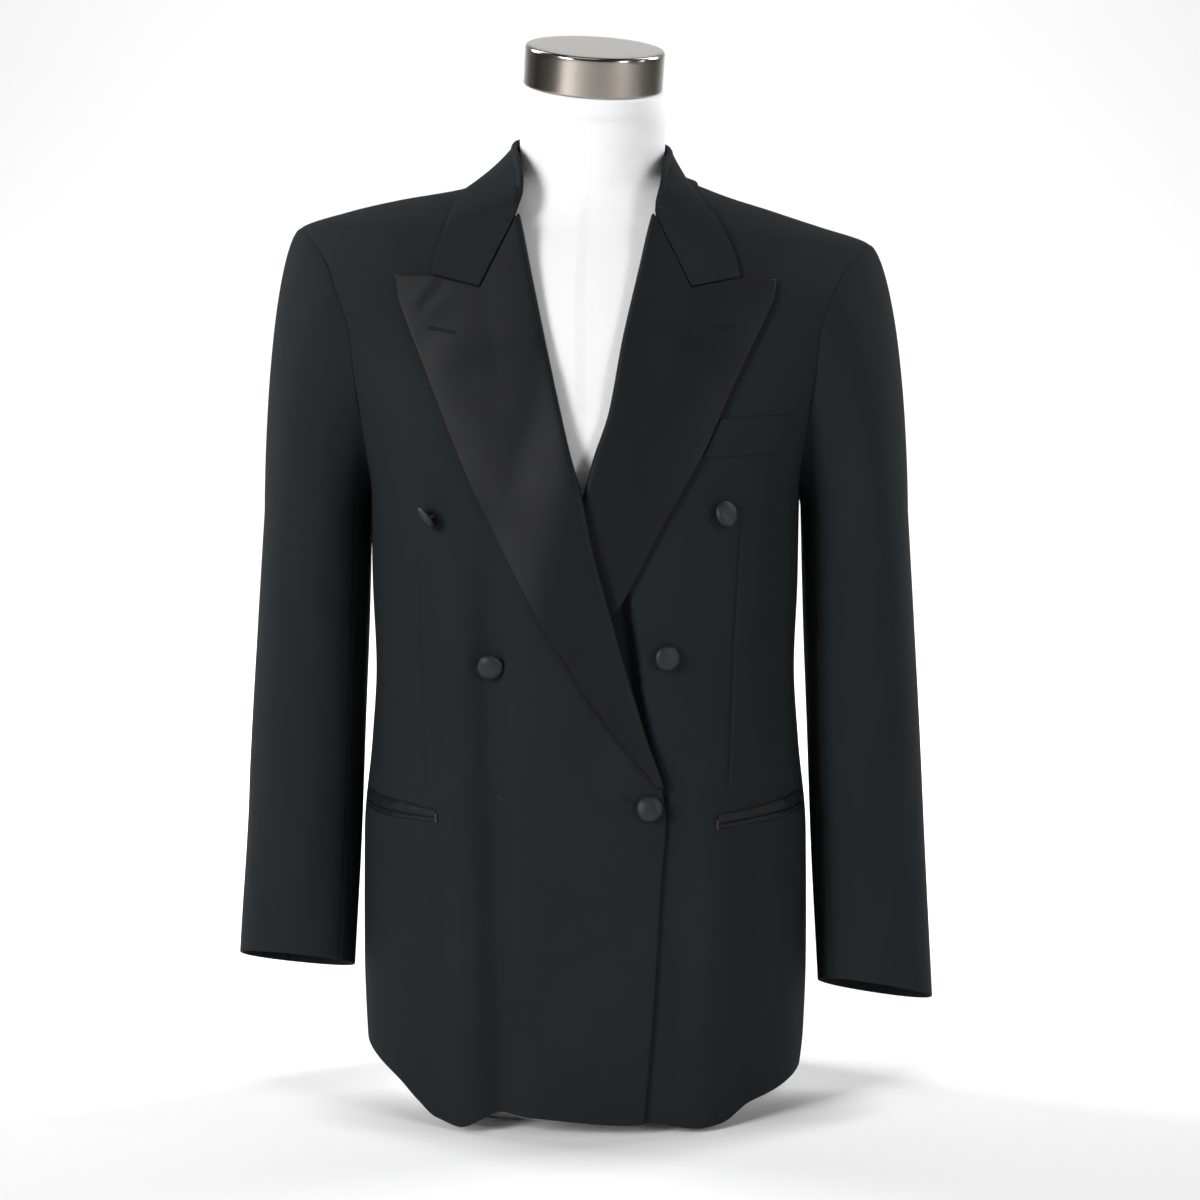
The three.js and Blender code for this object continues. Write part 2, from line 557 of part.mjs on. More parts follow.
// Collar curves, from the image-left lapel round the back of the neck to the image-right one
function collarSide(side) {
  return COLLAR.map((row) => {
    const shift = NECK_CENTRE * neckShare(row.fz);
    const down = side === LEFT ? row.down : 0;
    const closer = side === LEFT ? row.closer : 0;
    const place = (x, y, z) => (y === undefined
      ? onFront(side, x, z, LAPEL_OUT)
      : new THREE.Vector3(shift + side * x, y, z));
    return {
      fold: place(row.fx, row.fy, row.fz - down),
      edge: place(row.ex - closer, row.ey, row.ez - down),
    };
  });
}
function collarStations() {
  const right = collarSide(RIGHT);
  const stations = [...right, ...collarSide(LEFT).slice(0, -1).reverse()];
  const curve = (key) => new THREE.CatmullRomCurve3(stations.map((s) => s[key]), false, "centripetal");
  return { fold: curve("fold"), edge: curve("edge"), count: stations.length };
}

function collarFall() {
  const { fold, edge, count } = collarStations();
  const samples = (count - 1) * COLLAR_STEP + 1;
  const grid = spread(samples, 0, 1).map((t) => {
    const start = fold.getPoint(t);
    const end = edge.getPoint(t);
    const station = Math.min(t, 1 - t) * (count - 1);
    const folded = smooth((station - FOLD_STARTS.station) / FOLD_STARTS.over);
    const outward = new THREE.Vector3(start.x - NECK_CENTRE, start.y, 0).normalize();
    const toEdge = end.clone().sub(start).normalize();
    const first = COLLAR_FOLD.map((row, k) => {
      const turned = start.clone().addScaledVector(outward, row.out).add(new THREE.Vector3(0, 0, row.up));
      return start.clone().addScaledVector(toEdge, k * FLAT_STEP).lerp(turned, folded);
    });
    const from = first[first.length - 1];
    const rest = spread(COLLAR_COLUMNS + 1, 0, 1).slice(1).map((u) => {
      const bow = COLLAR_BOW * Math.sin(Math.PI * u) * folded;
      return liftOffBody(from.clone().lerp(end, u).addScaledVector(outward, bow), COLLAR_CLEAR * folded);
    });
    return [...first, ...rest];
  });
  return gridWall(grid, CLOTH);
}

// The stand rises from the neckline seam to just under the fold
function collarStand() {
  const { fold, count } = collarStations();
  const from = STAND.from / (count - 1);
  const grid = spread(STAND.samples, from, 1 - from).map((t) => {
    const top = fold.getPoint(t).add(new THREE.Vector3(0, 0, -STAND.under));
    const side = top.x < NECK_CENTRE ? RIGHT : LEFT;
    const station = Math.min(t, 1 - t) * (count - 1);
    const rise = smooth((station - NECKLINE.riseFrom) / NECKLINE.riseOver);
    const z = mix(STAND.lowZ, NECK_Z, rise);
    const x = along(FRONT_EDGE, "z", z, side === RIGHT ? "top" : "under") + ROLL_SETBACK;
    const toBack = Math.max(0, (station - NECKLINE.backFrom) / NECKLINE.backOver);
    const around = mix(Math.min(angleAtX(side, x, z), Math.PI / 2), Math.PI, toBack);
    const bottom = bodyPoint(side, around, z, 0);
    const inward = new THREE.Vector3(NECK_CENTRE - bottom.x, -bottom.y, 0).normalize();
    bottom.addScaledVector(inward, STAND.inward).add(new THREE.Vector3(0, 0, STAND.raised));
    return spread(STAND.rows, 0, 1).map((u) => bottom.clone().lerp(top, u));
  });
  return gridWall(grid, CLOTH);
}

// A point of a sleeve's middle surface; turn 0 is outside, 90 in front, and level 0 to 1 is the sleeve head
function sleevePoint(side, turn, level) {
  const c = Math.cos(turn);
  const s = Math.sin(turn);
  const cuff = CUFFS.find((row) => row.side === side);
  const down = Math.max(0, level - 1);
  const value = (name) => along(SLEEVE, "down", down, name);
  const reach = (Math.abs(s) ** SLEEVE_POWER + Math.abs(c) ** SLEEVE_POWER) ** (-1 / SLEEVE_POWER);
  const halfWidth = (value("outer") - value("inner")) / 2;
  const halfDepth = (value("back") - value("front")) / 2;
  const offX = halfWidth * reach * c;
  const offY = -halfDepth * reach * s;
  const tilt = down ** CUFF_POWER;
  const z = mix(ARM_TOP, cuff.z, down) + tilt * (cuff.outward * offX - cuff.forward * offY);
  const middleX = (value("outer") + value("inner")) / 2;
  const middleY = (value("back") + value("front")) / 2;
  const ring = new THREE.Vector3(side * (middleX + offX), middleY + offY, z);
  if (level >= 1) return ring;
  const loopY = -(ARMHOLE.depth - ARMHOLE.sleeveInset) * s;
  const loopZ = ARMHOLE.z + (ARMHOLE.height - ARMHOLE.sleeveInset) * c;
  const start = bodyBase(side, angleAtY(loopY, loopZ), loopZ);
  start.x += side * (HEAD_START.middle + HEAD_START.top * c);
  const out = mix(HEAD_OUT.middle, c > 0 ? HEAD_OUT.top : HEAD_OUT.under, Math.abs(c));
  const leave = start.clone().add(new THREE.Vector3(side * out, -HEAD_OUT.forward * out * s, 0));
  const arrive = ring.clone();
  arrive.x -= side * HEAD_OUT.tuck * Math.max(c, 0);
  arrive.z += (start.z - ring.z) * (HEAD_DROP.middle + HEAD_DROP.top * c);
  return new THREE.CubicBezierCurve3(start, leave, arrive, ring).getPoint(level);
}

function sleevePanel(side, fromDegrees, toDegrees, columns) {
  const levels = [...HEAD_LEVELS, ...ARM_LEVELS];
  const trim = SEAM_GAP / (SLEEVE[0].outer - SLEEVE[0].inner);
  const from = THREE.MathUtils.degToRad(fromDegrees) + trim;
  const to = THREE.MathUtils.degToRad(toDegrees) - trim;
  const layer = (i, j, out) => {
    const turn = mix(from, to, j / (columns - 1));
    const level = levels[i];
    const base = sleevePoint(side, turn, level);
    const before = sleevePoint(side, turn - STEP.turn, level);
    const around = sleevePoint(side, turn + STEP.turn, level).sub(before);
    const low = Math.max(0, level - STEP.level);
    const high = Math.min(2, level + STEP.level);
    const downward = sleevePoint(side, turn, high).sub(sleevePoint(side, turn, low));
    const normal = around.cross(downward).normalize().multiplyScalar(side);
    return base.addScaledVector(normal, out);
  };
  return wallGeometry(levels.length, columns, layer, CLOTH);
}

// A strip on a front panel: bottom and top heights at an own distance, and where it starts and ends
function frontStrip(side, columns, fromAngle, toAngle, bottom, top) {
  const layer = (i, j, out) => {
    const t = j / (columns - 1);
    const z = mix(bottom(t), top(t), i / (STRIP_ROWS - 1));
    return bodyPoint(side, mix(fromAngle(z), toAngle(z), t), z, TRIM_OUT + out);
  };
  return wallGeometry(STRIP_ROWS, columns, layer, TRIM);
}
// The jets meet at the slit, which rises outwards; they widen from the pocket's inner end
function hipJet(side, word) {
  const { slit, seamClear, columns, widens } = HIP_POCKET;
  const pocket = HIP_POCKETS.find((row) => row.side === side);
  const jet = JETS[word];
  const start = () => angleAtX(side, pocket.inner, pocket.z);
  const end = () => angleAtY(-SEAM_Y - seamClear, pocket.z);
  const middle = (t) => pocket.z + pocket.rise * t;
  const width = (t) => mix(jet.inner, jet.outer, smooth(t * widens));
  if (word === "upper") {
    const bottom = (t) => middle(t) + slit / 2;
    return frontStrip(side, columns, start, end, bottom, (t) => bottom(t) + width(t));
  }
  const top = (t) => middle(t) - slit / 2;
  return frontStrip(side, columns, start, end, (t) => top(t) - width(t), top);
}
function chestWelt() {
  const w = CHEST_WELT;
  const start = (z) => angleAtX(LEFT, along(LAPEL_EDGE, "z", z, "under") + w.clear, z);
  const end = (z) => angleAtX(LEFT, mix(w.outerBottom, w.outerTop, (z - w.bottom) / (w.top - w.bottom)), z);
  const rise = (height) => (t) => height + w.slope * t;
  return frontStrip(LEFT, w.columns, start, end, rise(w.bottom), rise(w.top));
}

// A solid turned about +Z from rows of radius and height
function turnedGeometry(profile, segments) {
  const points = profile.map(([radius, height]) => new THREE.Vector2(radius, height));
  const geometry = new THREE.LatheGeometry(points, segments);
  geometry.rotateX(Math.PI / 2);
  return geometry;
}

// A domed button
function buttonGeometry() {
  const { radius, height, rim, inset, segments } = BUTTON;
  const dome = [0.25, 0.5, 0.75].map((t) => {
    const turn = t * Math.PI / 2;
    return [radius * Math.cos(turn), rim + (height - rim) * Math.sin(turn)];
  });
  return turnedGeometry([[0, 0], [radius - inset, 0], [radius, rim], ...dome, [0, height]], segments);
}
// A button leans on its thread until its rim just clears the cloth
function placeButton(mesh, row) {
  const { side } = row;
  const { radius, rim, inset, seat, segments } = BUTTON;
  const lift = (x, z) => (side === RIGHT ? topLift(x, z) : 0);
  const surface = (x, z) => onFront(side, side * x, z, CLOTH / 2 + lift(x, z));
  const across = surface(row.x + radius, row.z).sub(surface(row.x - radius, row.z)).normalize();
  const up = surface(row.x, row.z + radius).sub(surface(row.x, row.z - radius)).normalize();
  const out = across.clone().cross(up).normalize();
  const facing = out.clone().addScaledVector(across, row.leanX).addScaledVector(up, row.leanZ).normalize();
  mesh.quaternion.setFromUnitVectors(new THREE.Vector3(0, 0, 1), facing);
  mesh.position.copy(surface(row.x, row.z));
  const rings = [{ radius: radius - inset, height: 0 }, { radius, height: rim }];
  for (let pass = 0; pass < BUTTON.passes; pass += 1) {
    let clearance = Infinity;
    for (const ring of rings) {
      for (let k = 0; k < 2 * segments; k += 1) {
        const turn = (k / segments) * Math.PI;
        const point = new THREE.Vector3(Math.cos(turn), Math.sin(turn), 0).multiplyScalar(ring.radius);
        point.z = ring.height;
        point.applyQuaternion(mesh.quaternion).add(mesh.position);
        clearance = Math.min(clearance, point.clone().sub(surface(point.x, point.z)).dot(out));
      }
    }
    mesh.position.addScaledVector(out, seat - clearance);
  }
}

function dressForm() {
  const positions = [];
  const index = [];
  const heights = [];
  for (let k = 0; k < FORM.length - 1; k += 1) {
    heights.push(FORM[k].z);
    if (FORM[k + 1].z - FORM[k].z > FORM_STEP) heights.push((FORM[k].z + FORM[k + 1].z) / 2);
  }
  heights.push(FORM[FORM.length - 1].z - CAP.gap);
  for (const z of heights) {
    const x = along(FORM, "z", z, "x");
    const y = along(FORM, "z", z, "y");
    const tilt = smooth((z - NECK_TILT.from) / NECK_TILT.over);
    for (let k = 0; k < FORM_SEGMENTS; k += 1) {
      const point = sag(ringPoint(FORM, x, y, 1, (k / FORM_SEGMENTS) * 2 * Math.PI, z));
      point.z += tilt * (NECK_TILT.forward * (point.y - y) + NECK_TILT.side * (point.x - x));
      positions.push(...point.toArray());
    }
  }
  const n = FORM_SEGMENTS;
  for (let i = 0; i < heights.length - 1; i += 1) {
    for (let k = 0; k < n; k += 1) {
      const a = i * n + k;
      const b = i * n + ((k + 1) % n);
      index.push(a, b, b + n, a, b + n, a + n);
    }
  }
  const last = (heights.length - 1) * n;
  for (let k = 1; k < n - 1; k += 1) {
    index.push(0, k + 1, k);
    index.push(last, last + k, last + k + 1);
  }
  return closedGeometry(positions, index);
}

function capGeometry() {
  const { radius, height, edge, chamfer, segments } = CAP;
  const rounded = [0, 0.25, 0.5, 0.75, 1].map((t) => {
    const turn = t * Math.PI / 2;
    return [radius - edge * (1 - Math.cos(turn)), height - edge * (1 - Math.sin(turn))];
  });
  return turnedGeometry([[0, 0], [radius - chamfer, 0], [radius, chamfer], ...rounded, [0, height]], segments);
}

const COLOURS = {
  wool: { color: 0x1c2022, roughness: 0.9, metalness: 0 },
  satin: { color: 0x242425, roughness: 0.45, metalness: 0 },
  form: { color: 0xf0efed, roughness: 0.8, metalness: 0 },
  steel: { color: 0x9a938c, roughness: 0.3, metalness: 1 },
};
const part = new THREE.Group();
function add(name, geometry, finish) {
  const mesh = new THREE.Mesh(geometry, new THREE.MeshStandardMaterial(COLOURS[finish]));
  mesh.name = name;
  part.add(mesh);
  return mesh;
}

for (const [side, word] of [[RIGHT, "right"], [LEFT, "left"]]) {
  add(`front_${word}`, frontPanel(side), "wool");
  add(`side_${word}`, sidePanel(side), "wool");
  add(`back_${word}`, backPanel(side), "wool");
  add(`top_sleeve_${word}`, sleevePanel(side, BACK_SEAM - 360, FRONT_SEAM, SLEEVE_COLUMNS.top), "wool");
  add(`under_sleeve_${word}`, sleevePanel(side, FRONT_SEAM, BACK_SEAM, SLEEVE_COLUMNS.under), "wool");
  add(`lapel_${word}`, lapel(side), "satin");
  add(`pocket_upper_jet_${word}`, hipJet(side, "upper"), "satin");
  add(`pocket_lower_jet_${word}`, hipJet(side, "lower"), "satin");
}
add("collar", collarFall(), "wool");
add("collar_stand", collarStand(), "wool");
add("chest_welt", chestWelt(), "wool");
for (const row of BUTTONS) placeButton(add(row.name, buttonGeometry(), "satin"), row);
add("dress_form", dressForm(), "form");
const neckTop = FORM[FORM.length - 1];
const cap = add("neck_cap", capGeometry(), "steel");
cap.position.set(neckTop.x, neckTop.y, neckTop.z);
cap.rotation.set(Math.atan(NECK_TILT.forward), -Math.atan(NECK_TILT.side), 0);

// The origin is under the middle of the whole part
part.updateMatrixWorld(true);
const bounds = new THREE.Box3().setFromObject(part, true);
const middle = bounds.getCenter(new THREE.Vector3());
part.position.set(-middle.x, -middle.y, -bounds.min.z);
part.updateMatrixWorld(true);

export default part;
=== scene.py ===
"""A double-breasted dinner jacket on a limbless dress form: cloth, trim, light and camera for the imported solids.

Sizes are millimetres in the jacket's own frame: +X the image right, -Y the front, +Z up. "own" distances run from
the middle of the body towards the side that a piece belongs to.
"""
import math

import bpy
import numpy as np
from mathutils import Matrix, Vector


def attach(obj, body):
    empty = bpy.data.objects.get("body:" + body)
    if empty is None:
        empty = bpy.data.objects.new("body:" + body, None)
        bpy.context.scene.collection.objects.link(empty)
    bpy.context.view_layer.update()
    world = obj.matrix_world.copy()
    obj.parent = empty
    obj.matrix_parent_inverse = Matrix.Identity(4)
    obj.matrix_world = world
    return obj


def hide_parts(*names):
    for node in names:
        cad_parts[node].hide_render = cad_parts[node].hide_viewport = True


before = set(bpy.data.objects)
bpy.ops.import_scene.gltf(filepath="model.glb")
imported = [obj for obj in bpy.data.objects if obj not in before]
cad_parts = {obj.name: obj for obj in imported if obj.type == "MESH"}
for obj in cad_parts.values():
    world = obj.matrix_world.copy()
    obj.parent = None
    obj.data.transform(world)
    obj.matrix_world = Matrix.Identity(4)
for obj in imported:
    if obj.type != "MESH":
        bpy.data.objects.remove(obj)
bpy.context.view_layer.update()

# From the jacket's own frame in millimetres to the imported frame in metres
SHIFT = np.array([-0.00015, 14.294, 0.0])
MM = 0.001

RIGHT, LEFT = -1, 1
WORD = {RIGHT: "right", LEFT: "left"}
CLOTH = 2.0
TRIM_OUT = 2.4
LAPEL_OUT = 4.0
GRID = 4.0
# Half steps, in angle and in height, over which a surface's direction is taken
ANGLE_STEP, HEIGHT_STEP = 0.004, 0.4


def table(names, *rows):
    """A table with named columns."""
    return {name: np.array(column, float) for name, column in zip(names.split(), zip(*rows))}


# The jacket's body, ring by ring: half width and depths of the middle of the wall
BODY = table(
    "z width front back power",
    (0, 187, 150, 122, 2.5), (60, 194, 152, 126, 2.5), (130, 196, 153, 128, 2.5), (240, 195, 151, 123, 2.5),
    (320, 187.5, 145, 113, 2.5), (386, 183.5, 141, 106, 2.5), (460, 186, 143, 110, 2.5),
    (535, 187, 145, 118, 2.5), (560, 191, 141, 120, 2.5), (600, 206, 132, 122, 2.5), (667, 242, 112, 118, 2.35),
    (718, 261, 96, 106, 2.2), (745, 259, 87, 93, 2.0), (765, 248, 82, 79, 1.8), (780, 205, 78, 69, 1.65),
    (790, 163, 75, 62, 1.6), (798, 117, 73, 59, 1.7), (808, 78, 70, 58, 2),
)
BODY_CENTRE, NECK_CENTRE, NECK_SHIFT_FROM = -1, 5, 770
TIP_Z, NECK_Z, HEM_BLEND = 765, 808, 160
SAG_DEPTH, SAG_X, SAG_Z = 14, (60, 150), (690, 75)

# Armhole oval on the body's side, and the side seams that meet it
HOLE_Z, HOLE_HEIGHT, HOLE_DEPTH = 650, 115, 74
SEAM_Y = 48
SEAM_TOP = HOLE_Z - HOLE_HEIGHT * math.sqrt(1 - (SEAM_Y / HOLE_DEPTH) ** 2)

HEM = table(
    "x z",
    (-200, 60), (-176, 47), (-157, 35), (-143, 21), (-127, 8), (-105, 5), (-74, 17.5), (-40, 15), (40, 9),
    (54, 10), (90, 4), (113, 5), (141, 16), (163, 24), (200, 34),
)
BACK_HEM, BACK_HEM_SLOPE = 44, -0.085

# Roll line and free edge of the top front and of the one under it, then the lapels' outer edges
FRONT_EDGE = table(
    "z top under",
    (0, -48.5, -60), (113, -57, -60), (212, -62.5, -60), (268, -66.5, -60), (291, -64, -57), (341, -48, -46),
    (414, -27, -27), (503, -3.5, -7), (535, 3, -1.5), (571, 13.3, 8), (608, 22, 20.5), (670, 35.5, 32.4),
    (728, 47.6, 46), (774, 57, 57), (790, 62, 63), (808, 67.5, 77.5),
)
LAPEL_EDGE = table(
    "z top under",
    (299, -57, -52), (363, -7.4, -16), (418, 26.3, 13), (472, 56, 41), (520, 81, 65.5), (571, 104, 95),
    (624, 125.9, 119.5), (656, 138.8, 135), (702, 157, 157.5),
)
PEAK, GORGE_TOP, GORGE_END, NOTCH = (160, 723), (57, 774), (88, 712.5), (129, 722.5)
LAPEL_BOTTOM = 296
ROLL = table("along out", (1.4, 0), (0.2, 0.3), (-0.8, 1.9), (-0.4, 3.7), (1.2, 4.9), (4.5, 5.2))
ROLL_SETBACK = 2.2
LIFT = dict(lift=3.4, lapel_lift=4.8, before=68, over=56, lapel_fade=44, lapel_from=245, lapel_over=40)

# Collar stations: the fold and the free edge, from the gorge to the middle of the back
COLLAR = (
    dict(fold=(88.5, None, 713.5), edge=(128.8, None, 723.4)),
    dict(fold=(73.5, None, 743.8), edge=(126.5, None, 738)),
    dict(fold=(58.1, None, 774.6), edge=(121, None, 754)),
    dict(fold=(58.5, -67, 803), edge=(114, None, 773)),
    dict(fold=(62, -38, 826), edge=(106, None, 790)),
    dict(fold=(65.6, -4, 838), edge=(98, 2, 803)),
    dict(fold=(57.7, 34, 845), edge=(82, 40, 801)),
    dict(fold=(32, 58, 849), edge=(48, 66, 803)),
    dict(fold=(0, 66, 850), edge=(0, 75, 804)),
)
# On the left side the collar lies lower, and its edge closer to the neck, station by station
COLLAR_LEFT = table("down closer", (0, 0), (0, 0), (0, 0), (1.5, 3), (3.5, 9), (4.5, 13), (3.5, 9), (1.5, 3), (0, 0))
COLLAR_FOLD = table("out up", (0, -4.4), (0.1, -1.8), (1.6, 0.5), (3.3, -1.0), (4.2, -4.6))
COLLAR_CLEAR = 2.9
STAND_TOP = 6.2

# Sleeves from the armhole to the ring at ARM_TOP, then down to the cuff
ARM_TOP, SLEEVE_POWER = 520, 2.2
SLEEVE = table(
    "down outer inner front back",
    (0, 282, 190.5, -74, 76), (0.25, 289, 193.5, -70, 68), (0.47, 294.5, 197, -69, 55),
    (0.72, 299.5, 200.5, -72, 37), (1, 305, 206, -77, 5),
)
CUFFS = {RIGHT: dict(z=125, forward=0.34, outward=0.1), LEFT: dict(z=98, forward=0.34, outward=-0.16)}
FRONT_SEAM, BACK_SEAM = 140, 285
# How far the sleeve head leaves the armhole sideways at the top, middle and underarm, and its tuck and drop
HEAD_TOP, HEAD_MIDDLE, HEAD_UNDER, HEAD_TUCK = 7, 10, 3, 4
DROP_MIDDLE, DROP_TOP = 0.55, 0.25

# The dress form, then its tilted neck and the steel cap
FORM = table(
    "z width front back x y power",
    (0, 150, 112, 98, 0, 0, 2.3), (50, 158, 118, 103, 0, 0, 2.3), (150, 163, 121, 107, 0, 0, 2.3),
    (280, 156, 116, 98, 0, 0, 2.3), (400, 142, 110, 88, 0, 0, 2.3), (500, 158, 127, 98, 0, 0, 2.3),
    (570, 170, 133, 106, 0, 0, 2.3), (640, 179, 115, 107, 0, 0, 2.3), (700, 184, 97.5, 100, 0, 0, 2.2),
    (742, 181, 80, 84, 1, 0, 2.1), (769, 167, 65, 68, 2, 0, 1.85), (784.8, 141, 60, 57, 3, 1, 1.7),
    (794.8, 114, 58, 53, 4, 1, 1.7), (802.4, 86, 58, 49, 5, 2, 1.8), (812, 66, 58, 50, 6, 2, 2),
    (826, 63, 57, 55, 5.5, 1, 2), (842, 63.2, 57, 56, 5.5, -1, 2), (856, 64.2, 57.5, 57, 5.7, -3, 2),
    (872, 63.2, 58.5, 58.5, 6, -6, 2), (887.4, 61, 58.8, 58.8, 6, -10.5, 2),
)
NECK_FROM, NECK_OVER, NECK_FORWARD, NECK_SIDE = 845, 35, 0.27, -0.06
CAP_RADIUS, CAP_HEIGHT, CAP_EDGE = 60.3, 34, 3

# The large folds of the fronts and the back, which the solids have too
FOLDS = table(
    "front top_x bottom_x top fade width out",
    (1, -83, -70, 575, 170, 12, -8), (1, -108, -99, 560, 220, 17, 6.5), (1, 110, 97, 440, 220, 19, 5.5),
    (1, 150, 141, 380, 200, 15, -5), (0, -60, -78, 380, 220, 24, 5), (0, 46, 62, 400, 220, 26, 4.5),
)
# Soft creases of the body seen from the front or the back: from, to, sideways bow, half width and depth
CREASES = table(
    "front x0 z0 x1 z1 bow width out",
    (1, -190, 560, -120, 470, -8, 11, -1.1), (1, -200, 610, -160, 500, -6, 9, 0.9),
    (1, 192, 575, 140, 470, 8, 10, -0.9), (1, -150, 420, -60, 300, -10, 16, -0.8),
    (1, -140, 330, -150, 60, 6, 12, -1.3), (1, -60, 260, -46, 20, 4, 9, 0.8),
    (1, 84, 300, 70, 30, -5, 11, -1.2), (1, 30, 360, -20, 300, 4, 9, 0.7),
    (1, 128, 560, 96, 300, 8, 18, -0.7), (1, -30, 240, -8, 30, 3, 14, -1.0),
    (1, 176, 250, 168, 60, 3, 10, 1.0), (1, -92, 705, -150, 640, 6, 12, -0.7),
    (0, -150, 560, -70, 470, 8, 14, -1.4), (0, 152, 570, 80, 460, -8, 13, -1.3),
    (0, -120, 430, 40, 400, 10, 15, -1.2), (0, 130, 390, -20, 360, 8, 13, -0.9),
    (0, -20, 330, -34, 70, 5, 16, -1.6), (0, 120, 300, 132, 70, -4, 14, -1.3), (0, -130, 320, -146, 80, 5, 13, 1.2),
    (0, -100, 690, 90, 702, -9, 16, -0.9), (0, 160, 250, 150, 60, 2, 10, 0.9), (0, 10, 640, -8, 480, 6, 20, 0.8),
)


def smooth(t):
    c = np.clip(t, 0, 1)
    return c * c * (3 - 2 * c)


def mix(a, b, t):
    return a + (b - a) * t


def stack(x, y, z):
    return np.stack(np.broadcast_arrays(x, y, z), -1).astype(float)


def unit(v):
    return v / np.maximum(np.linalg.norm(v, axis=-1, keepdims=True), 1e-9)


def along(rows, key, at, column):
    """The value of one column at a place along another, without overshoot between rows."""
    x, y = rows[key], rows[column]
    at = np.clip(np.asarray(at, float), x[0], x[-1])
    k = np.clip(np.searchsorted(x, at, side="right") - 1, 0, len(x) - 2)
    slope = np.diff(y) / np.diff(x)
    rising = slope[:-1] * slope[1:] > 0
    both = np.where(rising, slope[:-1] + slope[1:], 1)
    inner = np.where(rising, 2 * slope[:-1] * slope[1:] / both, 0)
    tangent = np.concatenate([slope[:1], inner, slope[-1:]])
    step = (x[1:] - x[:-1])[k]
    t = (at - x[k]) / step
    rise = y[k + 1] - y[k]
    a = tangent[k] * step - rise
    b = rise - tangent[k + 1] * step
    return y[k] + t * rise + t * (1 - t) * (a * (1 - t) + b * t)


def ring_point(rows, centre_x, centre_y, side, angle, z):
    """A ring's point at an angle from the front (0) over the side (90 degrees) to the back."""
    power = along(rows, "z", z, "power")
    s, c = np.sin(angle), np.cos(angle)
    reach = (np.abs(s) ** power + np.abs(c) ** power) ** (-1 / power)
    depth = np.where(c > 0, along(rows, "z", z, "front"), along(rows, "z", z, "back"))
    x = centre_x + side * along(rows, "z", z, "width") * reach * s
    return stack(x, centre_y - depth * reach * c, z)


def sag(point):
    """The left shoulder hangs lower than the right one."""
    drop = smooth((point[..., 0] - SAG_X[0]) / SAG_X[1]) * smooth((point[..., 2] - SAG_Z[0]) / SAG_Z[1])
    return point - stack(0, 0, SAG_DEPTH * drop)


def body_centre(z):
    return mix(BODY_CENTRE, NECK_CENTRE, smooth((z - NECK_SHIFT_FROM) / (NECK_Z - NECK_SHIFT_FROM)))


def body_base(side, angle, z):
    return sag(ring_point(BODY, body_centre(z), 0, side, angle, z))


def angle_at_x(side, x, z):
    power = along(BODY, "z", z, "power")
    reach = (x - side * body_centre(z)) / along(BODY, "z", z, "width")
    s = np.minimum(1, np.abs(reach))
    return np.sign(reach) * np.arctan2(s, (1 - s ** power) ** (1 / power))


def angle_at_y(y, z):
    power = along(BODY, "z", z, "power")
    y = np.asarray(y, float)
    depth = np.where(y < 0, along(BODY, "z", z, "front"), along(BODY, "z", z, "back"))
    c = np.minimum(1, np.abs(y) / depth)
    angle = np.arctan2((1 - c ** power) ** (1 / power), c)
    return np.where(y < 0, angle, math.pi - angle)


def fold_height(point):
    """How far the large folds and the soft creases move a point of the body out."""
    x, y, z = point[..., 0], point[..., 1], point[..., 2]
    height = np.zeros_like(x)
    for k in range(len(FOLDS["front"])):
        f = {name: column[k] for name, column in FOLDS.items()}
        centre = mix(f["bottom_x"], f["top_x"], z / f["top"])
        shape = np.exp(-(((x - centre) / f["width"]) ** 2)) * smooth((f["top"] - z) / f["fade"])
        height += f["out"] * shape * ((y < 0) == (f["front"] > 0))
    return height + crease_height(CREASES, x, z, y < 0)


def crease_height(rows, p, q, front=None):
    """Soft troughs and ridges along bowed lines in a plane with coordinates p and q."""
    height = np.zeros_like(p)
    for k in range(len(rows["out"])):
        c = {name: column[k] for name, column in rows.items()}
        line = np.array([c["x1"] - c["x0"], c["z1"] - c["z0"]])
        length = np.hypot(*line)
        t = ((p - c["x0"]) * line[0] + (q - c["z0"]) * line[1]) / length ** 2
        off = ((p - c["x0"]) * line[1] - (q - c["z0"]) * line[0]) / length
        inside = np.clip(t, 0, 1)
        off = off - c["bow"] * 4 * inside * (1 - inside)
        shape = np.exp(-((off / c["width"]) ** 2)) * smooth(t * 3) * smooth((1 - t) * 3)
        here = 1 if front is None else front == (c["front"] > 0)
        height += c["out"] * shape * here
    return height


def body_point(side, angle, z, out):
    """A point of the body's wall, moved out along the surface's normal."""
    base = body_base(side, angle, z)
    around = body_base(side, angle + ANGLE_STEP, z) - body_base(side, angle - ANGLE_STEP, z)
    up = body_base(side, angle, z + HEIGHT_STEP) - body_base(side, angle, z - HEIGHT_STEP)
    normal = unit(np.cross(around, up) * side)
    return base + normal * (out + fold_height(base))[..., None]


def on_front(side, x, z, out):
    return body_point(side, angle_at_x(side, x, z), z, out)


def top_lift(x, z):
    """How far the top front is lifted by what lies under it."""
    rise = smooth((x - along(FRONT_EDGE, "z", z, "under") + LIFT["before"]) / LIFT["over"])
    beyond = x - along(LAPEL_EDGE, "z", z, "under") - 4
    over_lapel = smooth((z - LIFT["lapel_from"]) / LIFT["lapel_over"]) * (1 - smooth(beyond / LIFT["lapel_fade"]))
    return rise * (LIFT["lift"] + LIFT["lapel_lift"] * over_lapel)


